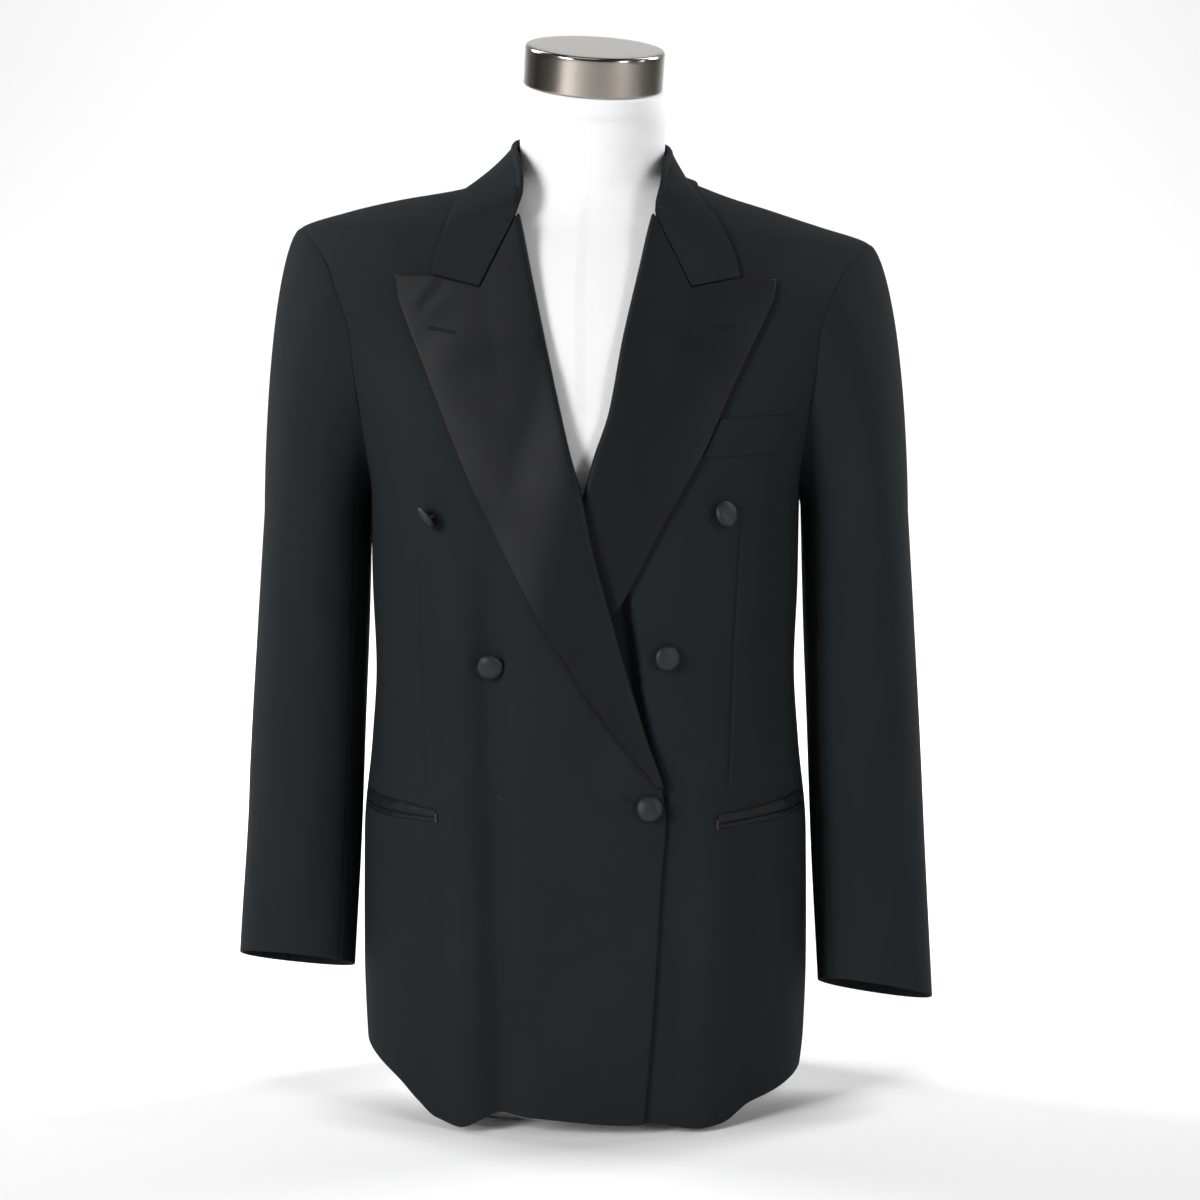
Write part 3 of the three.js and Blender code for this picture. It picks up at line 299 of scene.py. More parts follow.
def body_top(x, y):
    """Height of the body's middle surface over a place near the neck."""
    low, high = np.full(np.shape(x), float(HOLE_Z)), np.full(np.shape(x), float(NECK_Z))
    for _ in range(30):
        z = (low + high) / 2
        power = along(BODY, "z", z, "power")
        depth = np.where(y < 0, along(BODY, "z", z, "front"), along(BODY, "z", z, "back"))
        across = np.abs(x - body_centre(z)) / along(BODY, "z", z, "width")
        outside = across ** power + (np.abs(y) / depth) ** power > 1
        high, low = np.where(outside, z, high), np.where(outside, low, z)
    return sag(stack(x, y, low))[..., 2]


def lift_off_body(point, clear):
    """Moves points off the body's wall until they lie clear of its middle."""
    x, y, z = point[..., 0], point[..., 1], point[..., 2]
    slope_x = body_top(x + 0.5, y) - body_top(x - 0.5, y)
    slope_y = body_top(x, y + 0.5) - body_top(x, y - 0.5)
    normal = unit(stack(-slope_x, -slope_y, 1))
    distance = (z - body_top(x, y)) * normal[..., 2]
    return point + normal * np.maximum(0, clear - distance)[..., None]


def row_height(side, angle, z):
    """Rows near the hem follow its line."""
    base = body_base(side, angle, z)
    hem = np.where(base[..., 1] < 0, along(HEM, "x", base[..., 0], "z"), BACK_HEM + BACK_HEM_SLOPE * base[..., 0])
    return np.where(z < HEM_BLEND, z + hem * (1 - z / HEM_BLEND), z)


def grid_normals(grid):
    """Normals of a grid of points, from its own rows and columns."""
    return unit(np.cross(np.gradient(grid, axis=1), np.gradient(grid, axis=0)))


def mesh_object(name, points, faces, uv=None, flat=False):
    """A mesh object from points in the jacket's frame; uv is in metres, one pair for each point."""
    mesh = bpy.data.meshes.new(name)
    mesh.from_pydata(((np.asarray(points) + SHIFT) * MM).tolist(), [], [list(map(int, f)) for f in faces])
    if uv is not None:
        layer = mesh.uv_layers.new(name="cloth")
        loops = np.empty(len(mesh.loops), int)
        mesh.loops.foreach_get("vertex_index", loops)
        layer.data.foreach_set("uv", np.asarray(uv, float)[loops].ravel())
    mesh.validate()
    mesh.polygons.foreach_set("use_smooth", [not flat] * len(mesh.polygons))
    mesh.update()
    made = bpy.data.objects.new(name, mesh)
    bpy.context.scene.collection.objects.link(made)
    return made


def finish_piece(made, finish, *nodes):
    """Gives a piece its material and slot, and lets it ride in place of its nodes."""
    made.data.materials.clear()
    made.data.materials.append(MATERIALS[finish])
    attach(made, "root")
    if nodes:
        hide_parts(*nodes)
    return made


def facing_out(points, faces):
    """Turns the faces of a closed mesh outwards."""
    points = np.asarray(points)
    volume = 0.0
    for face in faces:
        for k in range(1, len(face) - 1):
            a, b, c = points[face[0]], points[face[k]], points[face[k + 1]]
            volume += a[0] * (b[1] * c[2] - b[2] * c[1]) - a[1] * (b[0] * c[2] - b[2] * c[0])
            volume += a[2] * (b[0] * c[1] - b[1] * c[0])
    return faces if volume > 0 else [tuple(reversed(face)) for face in faces]


# The rounded edge's points between the middle and each face: their share of the way out, and of the rim back
EDGE_OUT, EDGE_BACK = 0.72, 0.42


def wall(name, layer, thickness=CLOTH, rim=0.8):
    """A closed sheet with rounded edges; layer(out) gives the grid of points that lie "out" off its middle."""
    half = thickness / 2
    middle, outer, inner = layer(0.0), layer(half), layer(-half)
    rows, columns = middle.shape[:2]
    inward = np.zeros_like(middle)
    inward[0] += unit(middle[1] - middle[0])
    inward[-1] += unit(middle[-2] - middle[-1])
    inward[:, 0] += unit(middle[:, 1] - middle[:, 0])
    inward[:, -1] += unit(middle[:, -2] - middle[:, -1])
    outer, inner = outer + inward * rim, inner + inward * rim
    upper = mix(middle, outer, EDGE_OUT) - inward * rim * EDGE_BACK
    lower = mix(middle, inner, EDGE_OUT) - inward * rim * EDGE_BACK
    across = np.linalg.norm(np.diff(middle, axis=1), axis=-1).cumsum(1)
    across = np.concatenate([np.zeros((rows, 1)), across], 1)
    down = np.linalg.norm(np.diff(middle, axis=0), axis=-1).cumsum(0)
    down = np.concatenate([np.zeros((1, columns)), down], 0)
    flat = stack(across * MM, down * MM, 0)[..., :2]
    edge = [(0, j) for j in range(columns)] + [(i, columns - 1) for i in range(1, rows)]
    edge += [(rows - 1, j) for j in range(columns - 2, -1, -1)] + [(i, 0) for i in range(rows - 2, 0, -1)]
    ei, ej = np.array(edge).T
    points = np.concatenate([
        outer.reshape(-1, 3), inner.reshape(-1, 3), upper[ei, ej], middle[ei, ej], lower[ei, ej],
    ])
    uv = np.concatenate([flat.reshape(-1, 2), flat.reshape(-1, 2)] + [flat[ei, ej]] * 3)
    index = np.arange(rows * columns).reshape(rows, columns)
    a, b, c, d = index[:-1, :-1], index[:-1, 1:], index[1:, 1:], index[1:, :-1]
    quads = np.stack([a, b, c, d], -1).reshape(-1, 4)
    behind = np.stack([a, d, c, b], -1).reshape(-1, 4) + rows * columns
    rings = [index[ei, ej]] + [2 * rows * columns + k * len(edge) + np.arange(len(edge)) for k in range(3)]
    rings.append(index[ei, ej] + rows * columns)
    sides = [
        np.stack([first, second, np.roll(second, -1), np.roll(first, -1)], -1)
        for first, second in zip(rings, rings[1:])
    ]
    faces = np.concatenate([quads, behind, *sides])
    # The outer face's normal has to point the way that "out" does
    turn = np.cross(points[b.ravel()] - points[a.ravel()], points[d.ravel()] - points[a.ravel()])
    if (turn * (outer - inner)[:-1, :-1].reshape(-1, 3)).sum() < 0:
        faces = faces[:, ::-1]
    return mesh_object(name, points, faces, uv)


def spread(start, stop, step):
    """Evenly spaced values from start to stop, no further apart than step."""
    return np.linspace(start, stop, max(2, math.ceil(abs(stop - start) / step) + 1))


def thick(grid):
    """The layers of a sheet through a grid of middle points."""
    normals = grid_normals(grid)
    return lambda out: grid + normals * out


# Cloth panels of the body: rows up the side seam, round the armhole and over the shoulder
HOLE_STEP, SHOULDER_STEP = 0.035, 1.0
PANEL_ROWS = np.concatenate([
    spread(0, SEAM_TOP, GRID),
    HOLE_Z + HOLE_HEIGHT * np.cos(spread(math.acos((SEAM_TOP - HOLE_Z) / HOLE_HEIGHT), 0, HOLE_STEP))[1:],
    spread(TIP_Z, NECK_Z, SHOULDER_STEP)[1:],
])


def panel_side_depth(z):
    """Depth of the armhole's edge, or of the side seam below it and the shoulder seam above it."""
    rise = np.minimum(1, (z - HOLE_Z) / HOLE_HEIGHT)
    hole = HOLE_DEPTH * np.sqrt(np.maximum(0, 1 - rise ** 2))
    return np.where(z <= SEAM_TOP, SEAM_Y, hole)


DARTS = {
    RIGHT: table("z x", (285, 133.5), (400, 137.5), (506, 141)),
    LEFT: table("z x", (285, 118), (448, 126), (552, 131.5)),
}
DART_HALF, DART_DEPTH, DART_FADE_LOW, DART_FADE_HIGH = 1.3, 1.1, 15, 40
# A front's columns inside and outside its dart, and how much closer together the first ones lie
INNER_COLUMNS, OUTER_COLUMNS, CROWDING = 44, 26, 1.08
BACK_COLUMNS = 52
SIDE_TOP_FROM = 300


def front_columns(side, z, start, stop):
    """Columns of a front panel in angle, three of them along the dart."""
    dart = angle_at_x(side, along(DARTS[side], "z", z, "x"), z)
    half = DART_HALF / along(BODY, "z", z, "width")
    left = [mix(start, dart - half, (k / INNER_COLUMNS) ** CROWDING) for k in range(INNER_COLUMNS)]
    right = [mix(dart + half, stop, k / OUTER_COLUMNS) for k in range(OUTER_COLUMNS + 1)]
    return np.stack([*left, dart - half, dart, *right], -1), INNER_COLUMNS + 1


# Beside the top front's rolled edge the under front falls back behind a crest: where the crest runs, and how deep.
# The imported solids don't have this fall.
CREST = table(
    "z x deep",
    (190, 62, 0), (215, 63, 2), (250, 66, 5), (285, 71, 7), (305, 66, 8), (330, 58, 9), (360, 52, 10), (400, 47, 11),
    (440, 42, 11), (462, 36, 9), (485, 30, 3), (510, 24, 0),
)
CREST_ROUND = 7


def under_dip(x, z):
    """How far the under front lies back beside the top one's edge."""
    behind = smooth((along(CREST, "z", z, "x") - x) / CREST_ROUND)
    return along(CREST, "z", z, "deep") * behind


def front_panel(side):
    top = side == RIGHT
    z = PANEL_ROWS
    edge = along(FRONT_EDGE, "z", z, "top" if top else "under") + np.where(z > LAPEL_BOTTOM, ROLL_SETBACK, 0)
    angle, dart = front_columns(side, z, angle_at_x(side, edge, z), angle_at_y(-panel_side_depth(z), z))
    height = row_height(side, angle, z[:, None])
    ends = DARTS[side]["z"]
    groove = np.zeros_like(angle)
    groove[:, dart] = DART_DEPTH * smooth((z - ends[0]) / DART_FADE_LOW) * smooth((ends[-1] - z) / DART_FADE_HIGH)
    place = body_base(side, angle, height)[..., 0]
    lift = top_lift(place, height) if top else -under_dip(place, height)
    layer = lambda out: body_point(side, angle, height, out + lift - groove)
    piece = wall(f"cloth_front_{WORD[side]}", layer)
    return finish_piece(piece, "wool", f"front_{WORD[side]}")


def back_panel(side):
    z = PANEL_ROWS
    start = angle_at_y(panel_side_depth(z), z)
    t = np.linspace(0, 1, BACK_COLUMNS)
    angle = mix(start[:, None], math.pi, t)
    height = row_height(side, angle, z[:, None])
    piece = wall(f"cloth_back_{WORD[side]}", lambda out: body_point(side, angle, height, out))
    return finish_piece(piece, "wool", f"back_{WORD[side]}")


def side_panel(side):
    y = spread(-SEAM_Y, SEAM_Y, GRID)
    top = HOLE_Z - HOLE_HEIGHT * np.sqrt(1 - (y / HOLE_DEPTH) ** 2)
    rows = spread(0, SEAM_TOP, GRID)[:, None]
    z = rows + (top - SEAM_TOP) * smooth((rows - SIDE_TOP_FROM) / (SEAM_TOP - SIDE_TOP_FROM))
    angle = angle_at_y(y[None, :], z)
    height = row_height(side, angle, z)
    piece = wall(f"cloth_side_{WORD[side]}", lambda out: body_point(side, angle, height, out))
    return finish_piece(piece, "wool", f"side_{WORD[side]}")


# Lapels: where the outer edge turns to the peak, where the rows start to bend to the gorge, and the shares of the
# top edge at which the gorge ends and the notch lies
PEAK_FROM, PEAK_OVER, BEND_FROM, BEND_OVER = 0.97, 0.03, 0.45, 0.55
GORGE_SHARE, NOTCH_SHARE = 0.486, 0.783
LAPEL_ROWS, ROLL_COLUMNS, FLAT_COLUMNS = 200, 16, 46
# The roll narrows where the lapel is narrower than this
ROLL_FULL = 40
LAPEL_FLAT = LAPEL_OUT - 0.3


def lapel_place(column, across, up):
    """A point of a lapel in own distance and height: across from the roll line, up from the button."""
    z = mix(LAPEL_BOTTOM, GORGE_TOP[1], up)
    roll_x = along(FRONT_EDGE, "z", z, column)
    edge_z = mix(LAPEL_EDGE["z"][0], LAPEL_EDGE["z"][-1], np.minimum(1, up / PEAK_FROM))
    tip = smooth((up - PEAK_FROM) / PEAK_OVER)
    edge_x = mix(along(LAPEL_EDGE, "z", edge_z, column), PEAK[0], tip)
    edge_z = mix(edge_z, PEAK[1], tip)
    roll_top = (float(along(FRONT_EDGE, "z", GORGE_TOP[1], column)), GORGE_TOP[1])
    corners = np.array([(0, *roll_top), (GORGE_SHARE, *GORGE_END), (NOTCH_SHARE, *NOTCH), (1, *PEAK)], float)
    bend = smooth((up - BEND_FROM) / BEND_OVER) ** 1.5
    top_x = np.interp(across, corners[:, 0], corners[:, 1]) - mix(roll_top[0], PEAK[0], across)
    top_z = np.interp(across, corners[:, 0], corners[:, 2]) - mix(roll_top[1], PEAK[1], across)
    return mix(roll_x, edge_x, across) + bend * top_x, mix(z, edge_z, across) + bend * top_z


LAPEL_CREASES = {
    RIGHT: table(
        "x0 z0 x1 z1 bow width out",
        (142, 690, 112, 716, 2, 4.5, -0.9), (148, 700, 122, 728, -2, 4, 0.7), (120, 640, 60, 600, 5, 14, -0.5),
        (70, 470, 10, 440, -4, 12, 0.5), (-20, 390, -52, 372, 2, 7, -0.6),
    ),
    LEFT: table(
        "x0 z0 x1 z1 bow width out",
        (146, 694, 118, 716, 2, 5, -0.5), (110, 640, 50, 590, -5, 15, 0.5), (60, 500, 20, 560, 4, 12, -0.4),
    ),
}


def lapel(side):
    column = "top" if side == RIGHT else "under"
    up = np.linspace(0, 1, LAPEL_ROWS)[:, None]
    near, far = lapel_place(column, 0.0, up), lapel_place(column, 1.0, up)
    width = np.hypot(far[0] - near[0], far[1] - near[1])
    squeeze = np.minimum(1, width / ROLL_FULL)

    def place(x, z, out):
        lift = top_lift(-x, z) if side == RIGHT else 0
        crease = crease_height(LAPEL_CREASES[side], x, z)
        return on_front(side, x, z, out + lift + crease * smooth(out / 3))

    t = np.linspace(0, len(ROLL["out"]) - 1, ROLL_COLUMNS)
    knots = dict(k=np.arange(len(ROLL["out"]), dtype=float), **ROLL)
    back = np.interp(t, knots["k"], ROLL["along"])[None, :]
    out = along(knots, "k", t, "out")[None, :]
    x, z = lapel_place(column, np.maximum(0, back * squeeze) / width, up)
    rolled = place(x + np.minimum(0, back), z, out)
    across = mix(np.minimum(0.5, ROLL["along"][-1] * squeeze * 2 / width), 1, np.linspace(0, 1, FLAT_COLUMNS)[None, :])
    x, z = lapel_place(column, across, up)
    flat = place(x, z, mix(ROLL["out"][-1], LAPEL_FLAT, smooth(across * 1.6)))
    grid = np.concatenate([rolled, flat], 1)
    piece = wall(f"satin_lapel_{WORD[side]}", thick(grid), rim=0.9)
    return finish_piece(piece, "satin", f"lapel_{WORD[side]}")


# Collar
def centripetal(points, t):
    """Points on a centripetal Catmull-Rom curve; t runs from 0 to 1 evenly over its spans."""
    p = np.asarray(points, float)
    p = np.concatenate([[2 * p[0] - p[1]], p, [2 * p[-1] - p[-2]]])
    at = np.clip(np.asarray(t, float), 0, 1) * (len(p) - 3)
    k = np.minimum(at.astype(int), len(p) - 4)
    w = (at - k)[:, None]
    gap = np.linalg.norm(np.diff(p, axis=0), axis=-1) ** 0.5
    p0, p1, p2, p3 = p[k], p[k + 1], p[k + 2], p[k + 3]
    d0, d1, d2 = gap[k][:, None], gap[k + 1][:, None], gap[k + 2][:, None]
    t1 = ((p1 - p0) / d0 - (p2 - p0) / (d0 + d1) + (p2 - p1) / d1) * d1
    t2 = ((p2 - p1) / d1 - (p3 - p1) / (d1 + d2) + (p3 - p2) / d2) * d1
    return p1 + w * t1 + w ** 2 * (-3 * p1 + 3 * p2 - 2 * t1 - t2) + w ** 3 * (2 * p1 - 2 * p2 + t1 + t2)


def collar_lines():
    """The fold and the free edge as stations from the image-left lapel to the image-right one."""
    found = {"fold": [], "edge": []}
    last = len(COLLAR) - 1
    for side, order in ((RIGHT, range(last + 1)), (LEFT, range(last - 1, -1, -1))):
        for k in order:
            row = COLLAR[k]
            shift = NECK_CENTRE * float(smooth((row["fold"][2] - NECK_SHIFT_FROM) / (NECK_Z - NECK_SHIFT_FROM)))
            down, closer = (COLLAR_LEFT["down"][k], COLLAR_LEFT["closer"][k]) if side == LEFT else (0, 0)
            for key, line in found.items():
                x, y, z = row[key]
                x, z = float(x - closer * (key == "edge")), float(z - down)
                on_cloth = on_front(side, x, z, np.float64(LAPEL_OUT)) if y is None else None
                line.append(on_cloth if y is None else np.array([shift + side * x, y, z], float))
    return found


def collar_fall(lines):
    count = len(lines["fold"])
    t = np.linspace(0, 1, 180)
    start, end = centripetal(lines["fold"], t), centripetal(lines["edge"], t)
    station = np.minimum(t, 1 - t) * (count - 1)
    folded = smooth((station - 2) / 0.8)[:, None]
    outward = unit(stack(start[:, 0] - NECK_CENTRE, start[:, 1], 0))
    to_edge = unit(end - start)
    fine = np.linspace(0, len(COLLAR_FOLD["out"]) - 1, 13)
    knots = dict(k=np.arange(len(COLLAR_FOLD["out"]), dtype=float), **COLLAR_FOLD)
    first = []
    for k in fine:
        turned = start + outward * float(along(knots, "k", k, "out")) + stack(0, 0, float(along(knots, "k", k, "up")))
        first.append(mix(start + to_edge * k * 1.3, turned, folded))
    rest = []
    for u in np.linspace(0, 1, 23)[1:]:
        bow = 0.6 * math.sin(math.pi * u) * folded
        rest.append(lift_off_body(mix(first[-1], end, u) + outward * bow, COLLAR_CLEAR * folded[:, 0]))
    piece = wall("wool_collar", thick(np.stack([*first, *rest], 1)), rim=0.9)
    return finish_piece(piece, "wool", "collar")


# The stand: its first station, its lower edge's lowest height and where that rises, and how far it lies in and up
STAND_START, STAND_LOW, STAND_RISE_FROM, STAND_RISE_OVER = 2.9, 788, 2.4, 2.6
STAND_INWARD, STAND_UP = 2.1, 1.2


def collar_stand(lines):
    count = len(lines["fold"])
    from_t = STAND_START / (count - 1)
    t = np.linspace(from_t, 1 - from_t, 130)
    top = centripetal(lines["fold"], t) - stack(0, 0, STAND_TOP)
    station = np.minimum(t, 1 - t) * (count - 1)
    z = mix(STAND_LOW, NECK_Z, smooth((station - STAND_RISE_FROM) / STAND_RISE_OVER))
    bottoms = []
    for k, spot in enumerate(top):
        side = RIGHT if spot[0] < NECK_CENTRE else LEFT
        x = float(along(FRONT_EDGE, "z", z[k], "top" if side == RIGHT else "under")) + ROLL_SETBACK
        angle = min(float(angle_at_x(side, x, z[k])), math.pi / 2)
        around = mix(angle, math.pi, max(0.0, (station[k] - 5) / 3))
        bottom = body_point(side, np.float64(around), np.float64(z[k]), np.float64(0))
        inward = unit(np.array([NECK_CENTRE - bottom[0], -bottom[1], 0]))
        bottoms.append(bottom + inward * STAND_INWARD + np.array([0, 0, STAND_UP]))
    grid = np.stack([mix(np.array(bottoms), top, u) for u in np.linspace(0, 1, 12)], 1)
    return finish_piece(wall("wool_collar_stand", thick(grid), rim=0.9), "wool", "collar_stand")


# Sleeves
def sleeve_point(side, turn, level):
    """A point of a sleeve's middle; turn 0 is outside and 90 in front, and level 0 to 1 is the sleeve head."""
    c, s = np.cos(turn), np.sin(turn)
    cuff = CUFFS[side]
    down = np.maximum(0, level - 1)
    outer, inner = along(SLEEVE, "down", down, "outer"), along(SLEEVE, "down", down, "inner")
    front, back = along(SLEEVE, "down", down, "front"), along(SLEEVE, "down", down, "back")
    reach = (np.abs(s) ** SLEEVE_POWER + np.abs(c) ** SLEEVE_POWER) ** (-1 / SLEEVE_POWER)
    off_x, off_y = (outer - inner) / 2 * reach * c, -(back - front) / 2 * reach * s
    z = mix(ARM_TOP, cuff["z"], down) + down ** 1.5 * (cuff["outward"] * off_x - cuff["forward"] * off_y)
    ring = stack(side * ((outer + inner) / 2 + off_x), (back + front) / 2 + off_y, z)
    loop_y, loop_z = -HOLE_DEPTH * s, HOLE_Z + HOLE_HEIGHT * c
    start = body_base(side, angle_at_y(loop_y, loop_z), loop_z)
    reach_out = mix(HEAD_MIDDLE, np.where(c > 0, HEAD_TOP, HEAD_UNDER), np.abs(c))
    leave = start + stack(side * 1.0, -0.15 * s, 0) * reach_out[..., None]
    drop = (start[..., 2] - ring[..., 2]) * (DROP_MIDDLE + DROP_TOP * c)
    arrive = ring + stack(-side * HEAD_TUCK * np.maximum(c, 0), 0, drop)
    w = np.clip(level, 0, 1)[..., None]
    head = (1 - w) ** 3 * start + 3 * w * (1 - w) ** 2 * leave + 3 * w ** 2 * (1 - w) * arrive + w ** 3 * ring
    return np.where((level < 1)[..., None], head, ring)


# Soft creases of the sleeves, by turn in degrees and height: from, to, bow, half width and depth
SLEEVE_CREASES = {
    RIGHT: table(
        "x0 z0 x1 z1 bow width out",
        (95, 470, 170, 430, 10, 12, -1.6), (60, 400, 150, 372, 8, 11, -1.2), (20, 300, 34, 150, 8, 12, -1.0),
        (100, 330, 92, 160, -6, 12, 1.2), (-60, 420, 10, 380, -8, 13, -1.0), (-95, 360, -30, 345, 6, 12, -1.3),
        (200, 470, 270, 400, 9, 13, -1.8), (-40, 620, -10, 500, 5, 14, -0.9),
    ),
    LEFT: table(
        "x0 z0 x1 z1 bow width out",
        (90, 455, 165, 420, 9, 12, -1.5), (70, 380, 150, 345, 8, 11, -1.3), (36, 330, 46, 130, -8, 13, -1.3),
        (110, 300, 98, 140, 6, 11, 1.1), (-70, 400, 5, 372, -8, 13, -1.0), (-100, 350, -40, 330, 6, 12, -1.2),
        (205, 470, 265, 410, 9, 13, -1.7), (50, 640, 62, 500, 6, 14, -0.8),
    ),
}


# Rows of the head and of the arm, degrees between columns, and half steps for the surface's direction
HEAD_ROWS, ARM_ROWS, TURN_STEP = 42, 106, 4.2
TURN_HALF, LEVEL_HALF = 0.01, 0.004


def sleeve_panel(side, word, start, stop):
    level = np.concatenate([np.linspace(0, 1, HEAD_ROWS)[:-1], np.linspace(1, 2, ARM_ROWS)])[:, None]
    columns = math.ceil((stop - start) / TURN_STEP)
    turn = np.radians(np.linspace(start, stop, columns))[None, :]
    level, turn = np.broadcast_arrays(level, turn)
    base = sleeve_point(side, turn, level)
    around = sleeve_point(side, turn + TURN_HALF, level) - sleeve_point(side, turn - TURN_HALF, level)
    low, high = np.maximum(0, level - LEVEL_HALF), np.minimum(2, level + LEVEL_HALF)
    downward = sleeve_point(side, turn, high) - sleeve_point(side, turn, low)
    normal = unit(np.cross(around, downward)) * side
    degrees = np.degrees(turn)
    crease = crease_height(SLEEVE_CREASES[side], degrees, base[..., 2])
    crease = crease + crease_height(SLEEVE_CREASES[side], degrees - 360, base[..., 2])
    crease = crease * smooth(level * 3) * smooth((2 - level) * 6)
    piece = wall(f"cloth_{word}_{WORD[side]}", lambda out: base + normal * (out + crease)[..., None])
    return finish_piece(piece, "wool", f"{word}_{WORD[side]}")


# Pockets: the slit's inner end, its height there and its rise outwards, then the jets' widths
HIP_POCKETS = {RIGHT: dict(inner=126.0, z=268.4, rise=1.9), LEFT: dict(inner=109.0, z=264.8, rise=5.5)}
SLIT, POCKET_CLEAR, JET_WIDENS = 0.9, 3, 1.6
JETS = {"upper": (6.4, 9.6), "lower": (3.2, 5.2)}
TRIM_WALL = 1.2
TRIM_MIDDLE = TRIM_OUT - 0.9


def hip_jet(side, word):
    """One jet of a hip pocket, puckered and a little uneven."""
    pocket = HIP_POCKETS[side]
    start = float(angle_at_x(side, pocket["inner"], pocket["z"]))
    stop = float(angle_at_y(-SEAM_Y - POCKET_CLEAR, pocket["z"]))
    t = np.linspace(0, 1, 90)
    u = np.linspace(0, 1, 13)[:, None]
    width = mix(*JETS[word], smooth(t * JET_WIDENS))
    middle = pocket["z"] + pocket["rise"] * t
    wave = 0.4 * np.sin(9 * t + side) + 0.2 * np.sin(23 * t + 2)
    if word == "upper":
        z = middle + SLIT / 2 + (width + wave) * u
        edge = 1 - u
    else:
        z = middle - SLIT / 2 - (width - 0.3 * wave) * (1 - u)
        edge = u
    # Fullest beside the slit, flat where it is sewn to the front
    pucker = 1 + 0.45 * np.sin(15 * t + 2 * side) * np.sin(6 * t + 1) + 0.25 * np.sin(34 * t)
    puff = np.sin(math.pi * np.clip(0.12 + 0.88 * edge, 0, 1)) * mix(0.5, 1.5, smooth(t * 1.3)) * pucker
    puff = puff * (1.0 if word == "upper" else 0.45)
    angle = np.broadcast_to(mix(start, stop, t)[None, :], z.shape)
    lift = top_lift(body_base(side, angle, z)[..., 0], z) if side == RIGHT else 0
    layer = lambda out: body_point(side, angle, z, TRIM_MIDDLE + out + puff + lift)
    piece = wall(f"satin_{word}_jet_{WORD[side]}", layer, thickness=TRIM_WALL, rim=0.5)
    return finish_piece(piece, "satin", f"pocket_{word}_jet_{WORD[side]}")


def chest_welt():
    bottom, top, slope, off_lapel = 572, 604, 2.5, 0.9
    outer_end = (168.0, 173.0)
    t = np.linspace(0, 1, 40)[None, :]
    u = np.linspace(0, 1, 16)[:, None]
    z = mix(bottom, top, u) + slope * t
    start = angle_at_x(LEFT, along(LAPEL_EDGE, "z", z, "under") + off_lapel, z)
    stop = angle_at_x(LEFT, mix(*outer_end, u), z)
    angle = mix(start, stop, t)
    layer = lambda out: body_point(LEFT, angle, z, TRIM_MIDDLE + 0.5 * u + out)
    return finish_piece(wall("wool_chest_welt", layer, thickness=TRIM_WALL, rim=0.7), "wool", "chest_welt")


# Buttons: centre on the front, and how far each leans on its thread, as a slope
BUTTON_RADIUS, BUTTON_HEIGHT, BUTTON_RIM, BUTTON_INSET, BUTTON_SEAT = 11, 6.5, 1.6, 1.5, 0.5
BUTTONS = {
    "button_upper_right": dict(side=RIGHT, x=-127, z=523, lean=(-0.85, -0.85)),
    "button_upper_left": dict(side=LEFT, x=114.6, z=525.5, lean=(0.2, 0.24)),
    "button_middle_right": dict(side=RIGHT, x=-78, z=398, lean=(0.3, -0.34)),
    "button_middle_left": dict(side=LEFT, x=67, z=406, lean=(0.2, -0.04)),
    "button_fastened": dict(side=RIGHT, x=52.5, z=280, lean=(-0.12, 0.05)),
}


def front_surface(side, x, z, out=0.0):
    """A point "out" above the cloth that lies outermost at a place of the front, by image x."""
    lift = top_lift(x, z) if side == RIGHT else 0
    return on_front(side, side * np.asarray(x, float), np.asarray(z, float), CLOTH / 2 + lift + out)


def seated(side, x, z, lean):
    """Where a button's back lies, and its own axes, when its rim just clears the cloth."""
    r = BUTTON_RADIUS
    across = unit(front_surface(side, x + r, z) - front_surface(side, x - r, z))
    up = unit(front_surface(side, x, z + r) - front_surface(side, x, z - r))
    out = unit(np.cross(across, up))
    facing = unit(out + across * lean[0] + up * lean[1])
    first = unit(across - facing * (across @ facing))
    second = np.cross(facing, first)
    centre = front_surface(side, x, z)
    turn = np.linspace(0, 2 * math.pi, 33)[:-1, None]
    for _ in range(3):
        clearance = math.inf
        for radius, height in ((r - BUTTON_INSET, 0), (r, BUTTON_RIM)):
            ring = centre + (first * np.cos(turn) + second * np.sin(turn)) * radius + facing * height
            off = (ring - front_surface(side, ring[:, 0], ring[:, 2])) @ out
            clearance = min(clearance, off.min())
        centre = centre + out * (BUTTON_SEAT - clearance)
    return centre, first, second, facing


